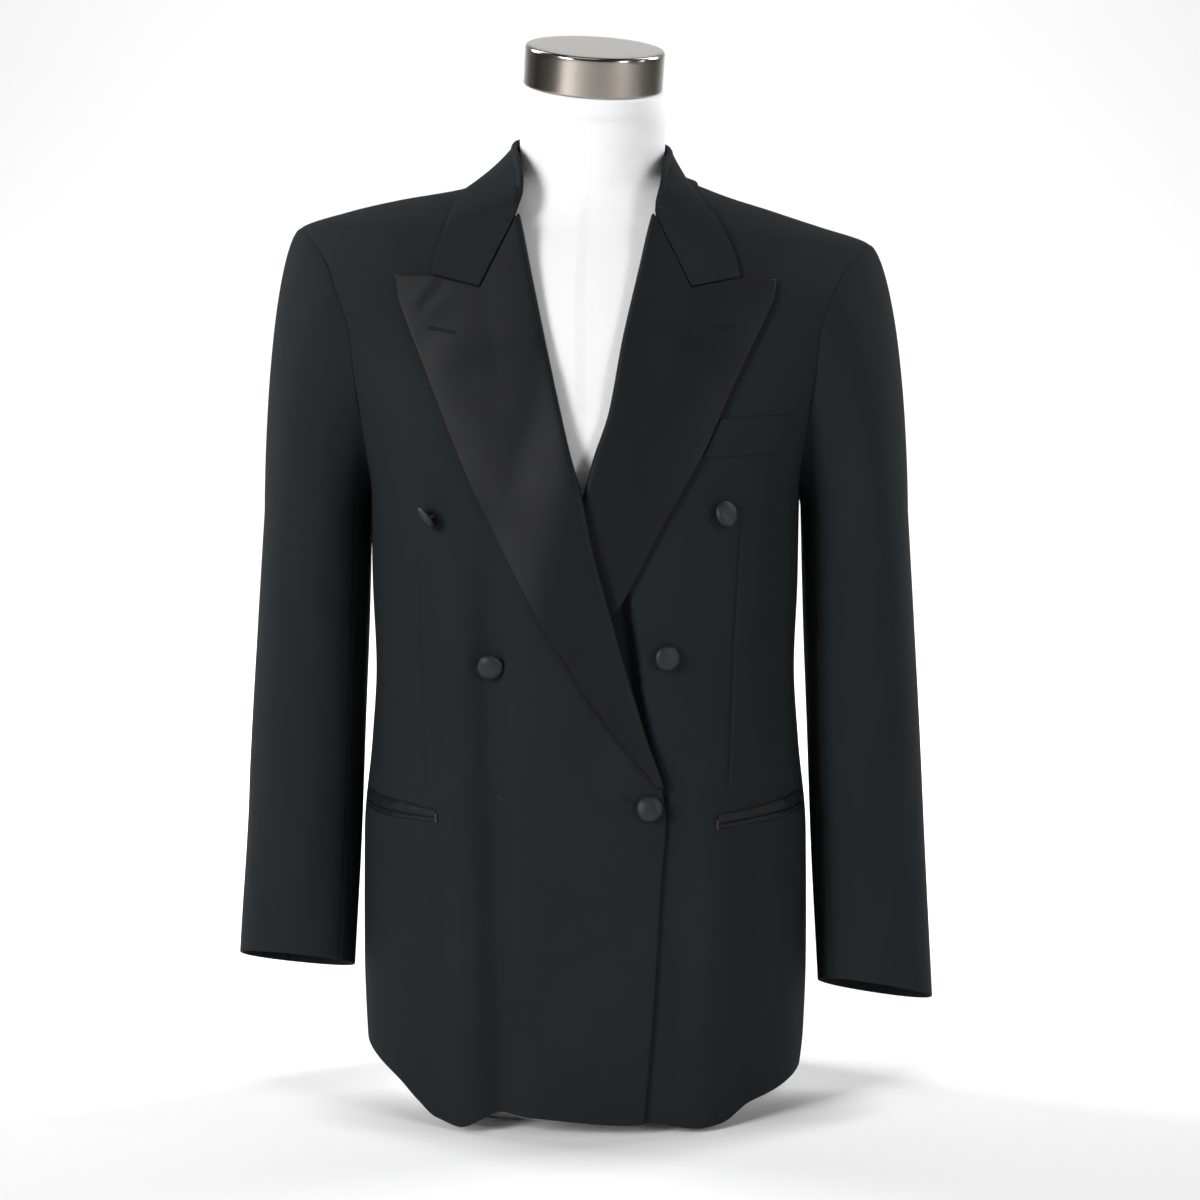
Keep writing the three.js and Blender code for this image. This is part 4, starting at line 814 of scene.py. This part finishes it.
def button(name, side, x, z, lean):
    centre, across, up, normal = seated(side, x, z, lean)
    shank = np.linspace(front_surface(side, x, z, -0.5), centre + normal * 0.8, 8)
    swept(f"thread_shank_{name}", shank, 1.3, "thread")
    turns = 72
    profile = [(0.0, 0.9), (BUTTON_RADIUS - 3.4, 0.5), (BUTTON_RADIUS - 1.6, 0.1), (BUTTON_RADIUS - 0.5, 0.5)]
    profile += [(BUTTON_RADIUS - 0.1, BUTTON_RIM - 0.4)]
    for k in range(1, 15):
        turn = k / 15 * math.pi / 2
        rise = BUTTON_RIM + (BUTTON_HEIGHT - BUTTON_RIM) * math.sin(turn) ** 0.9
        profile.append((BUTTON_RADIUS * math.cos(turn) ** 0.85, rise))
    points = [centre + normal * profile[0][1]]
    for radius, height in profile[1:]:
        for k in range(turns):
            turn = 2 * math.pi * k / turns
            gather = 0.14 * math.sin(17 * turn + x) * float(smooth(1 - abs(height - 0.9) / 1.6))
            dent = 0.25 * math.sin(2 * turn + x) + 0.15 * math.sin(3 * turn + z)
            flat = across * math.cos(turn) + up * math.sin(turn)
            raised = height + dent * float(smooth((height - 3) / 2)) * radius / BUTTON_RADIUS
            points.append(centre + flat * (radius + gather) + normal * raised)
    points.append(centre + normal * BUTTON_HEIGHT)
    faces = [(0, 1 + (k + 1) % turns, 1 + k) for k in range(turns)]
    for row in range(len(profile) - 2):
        for k in range(turns):
            a, b = 1 + row * turns + k, 1 + row * turns + (k + 1) % turns
            faces.append((a, b, b + turns, a + turns))
    last = 1 + (len(profile) - 2) * turns
    faces += [(len(points) - 1, last + k, last + (k + 1) % turns) for k in range(turns)]
    points = np.array(points)
    flat = stack((points - centre) @ across, (points - centre) @ up, 0)[:, :2] * MM
    return finish_piece(mesh_object(f"satin_{name}", points, facing_out(points, faces), flat), "button", name)


# Threads and buttonholes
def front_uv(points):
    """Flat coordinates of small trim, in metres, as seen from the front."""
    return stack(points[:, 0] * MM, points[:, 2] * MM, 0)[:, :2]


def swept(name, path, radius, finish, closed=False):
    """A round thread along a path; radius is one value or one for each point."""
    path = np.asarray(path, float)
    if closed:
        tangent = unit(np.roll(path, -1, 0) - np.roll(path, 1, 0))
    else:
        tangent = unit(np.gradient(path, axis=0))
    first = unit(np.cross(tangent, [0.31, -1, 0.17]))
    second = np.cross(tangent, first)
    turns = 8
    angle = np.arange(turns) / turns * 2 * math.pi
    radius = np.broadcast_to(radius, len(path))[:, None, None]
    ring = first[:, None] * np.cos(angle)[None, :, None] + second[:, None] * np.sin(angle)[None, :, None]
    points = (path[:, None] + ring * radius).reshape(-1, 3)
    count = len(path)
    faces = []
    for i in range(count if closed else count - 1):
        for k in range(turns):
            a, b, n = i * turns + k, i * turns + (k + 1) % turns, (i + 1) % count * turns
            faces.append((a, b, n + (k + 1) % turns, n + k))
    if not closed:
        faces += [tuple(range(turns)), tuple(range(len(points) - 1, len(points) - 1 - turns, -1))]
    return finish_piece(mesh_object(name, points, facing_out(points, faces), front_uv(points)), finish)


def rows_swept(name, paths, radius, finish):
    """Several threads joined in one piece."""
    made = [swept(f"{name}_{k}", path, radius, finish) for k, path in enumerate(paths)]
    points, faces = [], []
    for piece in made:
        base = len(points)
        points += [tuple(v.co) for v in piece.data.vertices]
        faces += [tuple(base + v for v in face.vertices) for face in piece.data.polygons]
    for piece in made:
        bpy.data.objects.remove(piece)
    points = np.array(points) / MM - SHIFT
    return finish_piece(mesh_object(name, points, faces, front_uv(points)), finish)


def lapel_surface(side, x, z, out=0.0):
    """A point "out" above a lapel's flat, by image x."""
    lift = top_lift(x, z) if side == RIGHT else 0
    return on_front(side, side * np.asarray(x, float), np.asarray(z, float), LAPEL_FLAT + CLOTH / 2 + lift + out)


# Buttonholes: the surface, one end, the other end, the eye's radius at the first end, and the stitches' finish
BUTTONHOLES = {
    "front_right": (front_surface, RIGHT, (30.5, 287.2), (46, 284.3), 1.9, "wool"),
    "lapel_right": (lapel_surface, RIGHT, (-129.8, 678.8), (-108.6, 674.6), 0, "satin"),
    "lapel_left": (lapel_surface, LEFT, (108.5, 678.8), (123.5, 679.7), 0, "satin"),
}
SLOT_HALF, WHIP_RADIUS, WHIP_PITCH = 0.75, 0.5, 0.8


def buttonhole(name, surface, side, start, stop, eye, finish):
    """A stitched rim round a slot painted near black as shade, with a round eye where the hole is a keyhole."""
    start, stop = np.array(start, float), np.array(stop, float)
    length = np.linalg.norm(stop - start)
    u = (stop - start) / length
    v = np.array([-u[1], u[0]])
    turn = np.linspace(-math.pi / 2, math.pi / 2, 9)
    right = np.stack([length + SLOT_HALF * np.cos(turn), SLOT_HALF * np.sin(turn)], -1)
    radius = max(eye, SLOT_HALF)
    opening = math.asin(min(1.0, SLOT_HALF / radius))
    turn = np.linspace(opening, 2 * math.pi - opening, 21) if eye else np.linspace(math.pi / 2, 3 * math.pi / 2, 9)
    left = np.stack([radius * np.cos(turn), radius * np.sin(turn)], -1)
    corner = np.concatenate([right, left])
    corner = np.concatenate([corner, corner[:1]])
    step = np.linalg.norm(np.diff(corner, axis=0), axis=1)
    at = np.concatenate([[0], np.cumsum(step)])
    count = int(at[-1] / 0.2)
    s = np.linspace(0, at[-1], count + 1)[:-1]
    local = np.stack([np.interp(s, at, corner[:, 0]), np.interp(s, at, corner[:, 1])], -1)
    flat = start + local[:, :1] * u + local[:, 1:] * v
    whip = WHIP_RADIUS * (1 + 0.22 * np.sin(2 * math.pi * s / WHIP_PITCH))
    rim = swept(f"{finish}_buttonhole_{name}", surface(side, flat[:, 0], flat[:, 1], 0.15), whip, finish, closed=True)
    # The slot is a thin sheet coloured near black: painted shade that stands in for the shadow in the hole's opening.
    base, top = surface(side, flat[:, 0], flat[:, 1], -0.1), surface(side, flat[:, 0], flat[:, 1], 0.12)
    points = np.concatenate([base, top])
    ring = np.arange(count)
    faces = [tuple(ring), tuple(ring[::-1] + count)]
    faces += [(k, (k + 1) % count, (k + 1) % count + count, k + count) for k in range(count)]
    slot = mesh_object(f"painted_shade_buttonhole_{name}", points, facing_out(points, faces), front_uv(points), flat=True)
    return rim, finish_piece(slot, "gap")


def pocket_tacks():
    """Short upright stitches that close each hip pocket's inner end."""
    for side, x, low, high in ((RIGHT, -124.9, 264.6, 272.2), (LEFT, 108.2, 260.6, 267.6)):
        z = np.linspace(low, high, 12)
        rows = [front_surface(side, x + shift + 0.1 * np.sin(z), z, 1.3) for shift in (-0.75, -0.25, 0.25, 0.75)]
        rows_swept(f"thread_tack_{WORD[side]}", rows, 0.32, "thread")


# Thread ends of the missing button: where they leave the cloth, then how far each runs and rises
THREAD_ENDS_AT = (-71.0, 288.5)
THREAD_ENDS = (
    (2.2, 3.0, 1.6), (-2.6, 1.2, 1.1), (1.0, -3.6, 2.0), (3.4, -1.4, 1.4), (-1.2, 3.6, 2.4),
)


def loose_threads():
    """The ends left where a button is missing on the top front."""
    x0, z0 = THREAD_ENDS_AT
    rows = []
    for k, (dx, dz, rise) in enumerate(THREAD_ENDS):
        t = np.linspace(0, 1, 10)
        x, z = x0 + dx * t + 0.5 * np.sin(5 * t + k), z0 + dz * t + 0.4 * np.cos(4 * t + k)
        base = front_surface(RIGHT, x, z)
        out = unit(np.array([0.15, -1.0, 0.05]))
        rows.append(base + out * (rise * np.sin(math.pi * np.clip(t * 0.8, 0, 1)))[:, None])
    rows_swept("thread_missing_button", rows, 0.26, "thread")


def lapel_stitches():
    """Two short lines of fine stitches at the lower end of the top lapel."""
    start, stop, apart, count = np.array([48.6, 303.7]), np.array([64.2, 289.8]), 2.4, 9
    along_line = unit(stop - start)
    sideways = np.array([-along_line[1], along_line[0]])
    length = np.linalg.norm(stop - start)
    rows = []
    for line in (0, 1):
        for k in range(count):
            t = (k + np.linspace(0.15, 0.75, 5)) / count * length
            spot = start + along_line * t[:, None] + sideways * line * apart
            rows.append(front_surface(RIGHT, spot[:, 0], spot[:, 1], 0.12))
    rows_swept("thread_lapel_stitches", rows, 0.16, "thread")


# Dress form and cap
def closed_rings(name, rings, uv_round):
    """A closed body through rings of points, capped at both ends."""
    rings = np.asarray(rings)
    count, turns = rings.shape[:2]
    points = np.concatenate([rings.reshape(-1, 3), [rings[0].mean(0)], [rings[-1].mean(0)]])
    faces = []
    for i in range(count - 1):
        for k in range(turns):
            a, b = i * turns + k, i * turns + (k + 1) % turns
            faces.append((a, b, b + turns, a + turns))
    low, high, last = count * turns, count * turns + 1, (count - 1) * turns
    faces += [(low, (k + 1) % turns, k) for k in range(turns)]
    faces += [(high, last + k, last + (k + 1) % turns) for k in range(turns)]
    angle = np.tile(np.arange(turns) / turns * uv_round, count)
    uv = np.stack([np.append(angle, [0, 0]), points[:, 2] * MM], -1)
    return mesh_object(name, points, facing_out(points, faces), uv)


def dress_form():
    heights = np.concatenate([
        [0, 0, 0.6, 1.8], spread(4, 760, 8), spread(760, FORM["z"][-1] - 0.4, 3)[1:],
    ])
    inset = np.concatenate([[8, 2, 0.5, 0], np.zeros(len(heights) - 4)])
    angle = np.linspace(0, 2 * math.pi, 129)[:-1]
    rings = []
    for z, back in zip(heights, inset):
        x, y = along(FORM, "z", z, "x"), along(FORM, "z", z, "y")
        ring = sag(ring_point(FORM, x, y, 1, angle, z))
        away = ring - stack(x, y, z)
        ring = ring - unit(away * [1, 1, 0]) * back
        tilt = smooth((z - NECK_FROM) / NECK_OVER)
        rings.append(ring + stack(0, 0, tilt * (NECK_FORWARD * away[:, 1] + NECK_SIDE * away[:, 0])))
    return finish_piece(closed_rings("jersey_dress_form", rings, 1.0), "form", "dress_form")


def neck_cap():
    profile = [(CAP_RADIUS - 0.7, 0.0), (CAP_RADIUS - 0.2, 0.2), (CAP_RADIUS, 0.7)]
    profile += [(CAP_RADIUS, h) for h in np.linspace(2, CAP_HEIGHT - CAP_EDGE, 12)]
    for k in range(1, 9):
        turn = k / 8 * math.pi / 2
        profile.append((CAP_RADIUS - CAP_EDGE * (1 - math.cos(turn)), CAP_HEIGHT - CAP_EDGE * (1 - math.sin(turn))))
    profile += [(r, CAP_HEIGHT) for r in (50, 40, 30, 20, 10, 2)]
    pitch, roll = math.atan(NECK_FORWARD), -math.atan(NECK_SIDE)
    turn_x = np.array([[1, 0, 0], [0, math.cos(pitch), -math.sin(pitch)], [0, math.sin(pitch), math.cos(pitch)]])
    turn_y = np.array([[math.cos(roll), 0, math.sin(roll)], [0, 1, 0], [-math.sin(roll), 0, math.cos(roll)]])
    top = [FORM["x"][-1], FORM["y"][-1], FORM["z"][-1]]
    angle = np.linspace(0, 2 * math.pi, 145)[:-1]
    rings = [stack(r * np.cos(angle), r * np.sin(angle), h) @ (turn_x @ turn_y).T + top for r, h in profile]
    return finish_piece(closed_rings("steel_neck_cap", rings, 1.0), "steel", "neck_cap")


# Materials
class Shader:
    """A material's nodes, made by short calls."""

    def __init__(self, name, colour, **sockets):
        self.material = bpy.data.materials.new(name)
        self.material.use_nodes = True
        self.tree = self.material.node_tree
        self.shader = self.tree.nodes["Principled BSDF"]
        self.shader.inputs["Base Color"].default_value = (*colour, 1)
        for key, value in sockets.items():
            socket = self.shader.inputs[key.replace("_", " ").title().replace("Ior", "IOR")]
            socket.default_value = (*value, 1) if isinstance(value, tuple) and len(value) == 3 else value
        self.uv = self.node("ShaderNodeUVMap", uv_map="cloth").outputs[0]

    def node(self, kind, inputs=(), **settings):
        made = self.tree.nodes.new(kind)
        for key, value in settings.items():
            setattr(made, key, value)
        for key, value in dict(inputs).items():
            if isinstance(value, bpy.types.NodeSocket):
                self.tree.links.new(value, made.inputs[key])
            else:
                made.inputs[key].default_value = value
        return made

    def math(self, operation, a, b=0.0, c=0.0):
        return self.node("ShaderNodeMath", {0: a, 1: b, 2: c}, operation=operation).outputs[0]

    def stretched(self, x, y, z=1.0):
        return self.node("ShaderNodeVectorMath", {0: self.uv, 1: (x, y, z)}, operation="MULTIPLY").outputs[0]

    def noise(self, vector, scale, detail=2.0, rough=0.5):
        values = {"Vector": vector, "Scale": scale, "Detail": detail, "Roughness": rough}
        return self.node("ShaderNodeTexNoise", values).outputs["Fac"]

    def ramp(self, value, low, high):
        made = self.node("ShaderNodeMapRange", {"Value": value, "To Min": low, "To Max": high})
        return made.outputs["Result"]

    def colour(self, value, dark, light):
        made = self.node("ShaderNodeMix", {0: value, 6: (*dark, 1), 7: (*light, 1)}, data_type="RGBA")
        self.tree.links.new(made.outputs[2], self.shader.inputs["Base Color"])

    def rough(self, value):
        self.tree.links.new(value, self.shader.inputs["Roughness"])

    def bump(self, value, distance, strength=1.0):
        made = self.node("ShaderNodeBump", {"Height": value, "Distance": distance, "Strength": strength})
        self.tree.links.new(made.outputs[0], self.shader.inputs["Normal"])


def twill(shader, pitch, lean):
    """Slanting ridges of a twill or satin weave, from 0 to 1."""
    parts = shader.node("ShaderNodeSeparateXYZ", {0: shader.uv})
    slant = shader.math("MULTIPLY_ADD", parts.outputs[0], lean, parts.outputs[1])
    wave = shader.math("SINE", shader.math("MULTIPLY", slant, 2 * math.pi / pitch))
    return shader.math("MULTIPLY_ADD", wave, 0.5, 0.5)


def wool_material():
    made = Shader("wool_worsted", (0.02, 0.0235, 0.0262), roughness=0.9, specular_ior_level=0.07, sheen_weight=0.003)
    weave = twill(made, 0.0007, 1.6)
    fibre = made.noise(made.stretched(900, 1500), 1.0, 3)
    cloud = made.noise(made.stretched(14, 9), 1.0, 4, 0.6)
    mixed = made.math("MULTIPLY_ADD", fibre, 0.5, made.math("MULTIPLY", cloud, 0.6))
    made.colour(mixed, (0.0085, 0.0105, 0.012), (0.0165, 0.02, 0.0222))
    made.rough(made.ramp(fibre, 0.8, 0.95))
    made.bump(made.math("MULTIPLY_ADD", fibre, 0.7, weave), 0.00012, 0.5)
    return made.material


def satin_material(name, dark, light, level):
    made = Shader(name, light, roughness=0.42, specular_ior_level=level, anisotropic=0.35)
    weave = twill(made, 0.00042, -0.6)
    slub = made.noise(made.stretched(300, 1400), 1.0, 3)
    cloud = made.noise(made.stretched(16, 11), 1.0, 3)
    mixed = made.math("MULTIPLY_ADD", slub, 0.45, made.math("MULTIPLY", cloud, 0.55))
    made.colour(mixed, dark, light)
    made.rough(made.ramp(mixed, 0.38, 0.5))
    made.bump(made.math("MULTIPLY_ADD", slub, 0.6, weave), 0.00006, 0.5)
    return made.material


# Colour of thread, and also the painted shade of the buttonhole slots.
def thread_and_painted_shade_material(name, dark, light):
    made = Shader(name, light, roughness=0.6, specular_ior_level=0.3)
    ply = twill(made, 0.0006, 1.0)
    made.colour(ply, dark, light)
    made.bump(ply, 0.00005, 0.5)
    return made.material


def form_material():
    made = Shader("form_jersey", (0.82, 0.82, 0.825), roughness=0.75, specular_ior_level=0.3)
    parts = made.node("ShaderNodeSeparateXYZ", {0: made.uv})
    wales = made.math("SINE", made.math("MULTIPLY", parts.outputs[0], 2 * math.pi * 620))
    courses = made.math("SINE", made.math("MULTIPLY", parts.outputs[1], 2 * math.pi / 0.0012))
    cloud = made.noise(made.stretched(8, 8), 1.0, 3)
    made.colour(cloud, (0.79, 0.785, 0.79), (0.84, 0.838, 0.845))
    made.rough(made.ramp(cloud, 0.62, 0.78))
    made.bump(made.math("MULTIPLY", wales, courses), 0.0001, 0.4)
    return made.material


def steel_material():
    made = Shader("steel_brushed", (0.36, 0.325, 0.29), roughness=0.16, metallic=1.0)
    brush = made.noise(made.stretched(3, 2600), 1.0, 4, 0.7)
    cloud = made.noise(made.stretched(12, 30), 1.0, 3)
    mixed = made.math("MULTIPLY_ADD", brush, 0.6, made.math("MULTIPLY", cloud, 0.4))
    made.colour(mixed, (0.3, 0.265, 0.235), (0.43, 0.39, 0.355))
    made.rough(made.ramp(brush, 0.1, 0.24))
    made.bump(brush, 0.00004, 0.3)
    return made.material


MATERIALS = {
    "wool": wool_material(),
    "satin": satin_material("satin_lapel", (0.0055, 0.0058, 0.0065), (0.0115, 0.012, 0.0135), 0.11),
    "button": satin_material("satin_button", (0.007, 0.0078, 0.0086), (0.015, 0.0165, 0.018), 0.3),
    "thread": thread_and_painted_shade_material("thread_grey", (0.014, 0.0145, 0.0155), (0.042, 0.042, 0.044)),
    # Painted shade: the buttonhole slots' near-black colour stands in for the shadow inside the opening.
    "gap": thread_and_painted_shade_material("shadowed_gap", (0.002, 0.002, 0.002), (0.004, 0.004, 0.004)),
    "form": form_material(),
    "steel": steel_material(),
}


def aimed(made, place, target):
    """Puts a light or camera at a place, looking at a target, both in metres."""
    made.location = place
    made.rotation_euler = (Vector(target) - Vector(place)).to_track_quat("-Z", "Y").to_euler()
    bpy.context.scene.collection.objects.link(made)


def stage():
    """A pale floor that turns up into a backdrop."""
    reach, turn = 14.0, 4.0
    profile = [(-reach, 0.0), (turn, 0.0)]
    profile += [(turn + turn * math.sin(a), turn - turn * math.cos(a)) for a in np.linspace(0.1, math.pi / 2, 16)]
    profile += [(2 * turn, 12.0)]
    points = np.array([(x, y, z) for y, z in profile for x in (-reach, reach)]) / MM - SHIFT
    points[:, 2] -= 0.2
    faces = [(2 * k, 2 * k + 1, 2 * k + 3, 2 * k + 2) for k in range(len(profile) - 1)]
    floor = mesh_object("floor", points, faces)
    made = Shader("floor_paper", (0.9, 0.9, 0.9), roughness=0.9)
    made.uv = made.node("ShaderNodeTexCoord").outputs["Object"]
    made.colour(made.noise(made.uv, 1.5), (0.89, 0.89, 0.89), (0.91, 0.91, 0.91))
    floor.data.materials.append(made.material)


WORLD_STRENGTH = 0.04


def lights():
    world = bpy.data.worlds.new("studio")
    world.use_nodes = True
    world.node_tree.nodes["Background"].inputs["Color"].default_value = (1, 1, 1, 1)
    world.node_tree.nodes["Background"].inputs["Strength"].default_value = WORLD_STRENGTH
    bpy.context.scene.world = world
    middle, behind = (0, 0, 0.5), (0, 4, 1.6)
    for name, place, size, power, target in (
        ("key", (-2.35, -2.3, 1.5), (0.9, 1.7), 105, middle),
        ("fill", (2.4, -2.2, 1.3), (0.7, 1.6), 38, middle),
        ("side", (3.0, -0.4, 1.2), (0.2, 1.6), 7, middle),
        ("top", (-0.3, -0.9, 3.0), (1.2, 1.2), 6, middle),
        ("backdrop_left", (-2.4, 1.4, 2.6), (2.5, 2.5), 230, behind),
        ("backdrop_right", (2.4, 1.4, 2.6), (2.5, 2.5), 230, behind),
    ):
        data = bpy.data.lights.new(name, "AREA")
        data.shape = "RECTANGLE"
        data.size, data.size_y = size
        data.energy = power
        aimed(bpy.data.objects.new(name, data), place, target)


# The camera: sensor in mm, focal length and picture in pixels, place in mm and tilt down in degrees
SENSOR, FOCAL, PICTURE = 36, 2609, 1200
CAMERA_AT, CAMERA_DOWN = (12.0, -2300.0, 678.0), 5.91


def camera():
    data = bpy.data.cameras.new("camera")
    data.sensor_width = SENSOR
    data.lens = SENSOR * FOCAL / PICTURE
    data.clip_end = 100
    made = bpy.data.objects.new("camera", data)
    place = (np.array(CAMERA_AT) + SHIFT) * MM
    pitch = math.radians(CAMERA_DOWN)
    target = place + np.array([0, math.cos(pitch), -math.sin(pitch)])
    aimed(made, tuple(place), tuple(target))
    bpy.context.scene.camera = made


def build():
    pieces = {}
    for side in (RIGHT, LEFT):
        word = WORD[side]
        pieces[f"front_{word}"] = front_panel(side)
        pieces[f"side_{word}"] = side_panel(side)
        pieces[f"back_{word}"] = back_panel(side)
        pieces[f"top_sleeve_{word}"] = sleeve_panel(side, "top_sleeve", BACK_SEAM - 360, FRONT_SEAM)
        pieces[f"under_sleeve_{word}"] = sleeve_panel(side, "under_sleeve", FRONT_SEAM, BACK_SEAM)
        pieces[f"lapel_{word}"] = lapel(side)
        for jet in JETS:
            pieces[f"{jet}_jet_{word}"] = hip_jet(side, jet)
    lines = collar_lines()
    pieces["collar"] = collar_fall(lines)
    pieces["collar_stand"] = collar_stand(lines)
    pieces["chest_welt"] = chest_welt()
    for name, row in BUTTONS.items():
        button(name, **row)
    for name, row in BUTTONHOLES.items():
        buttonhole(name, *row)
    pocket_tacks()
    loose_threads()
    lapel_stitches()
    dress_form()
    neck_cap()
    return pieces


def declare_sheets(pieces):
    """Splits each cloth piece's name into its kind and its side's ending; nothing is done with them."""
    for name, piece in pieces.items():
        kind, _, word = name.rpartition("_")
        kind, ending = (kind, f"_{word}") if word in WORD.values() else (name, "")


def main():
    bpy.context.scene.view_settings.view_transform = "Standard"
    declare_sheets(build())
    stage()
    lights()
    camera()


main()
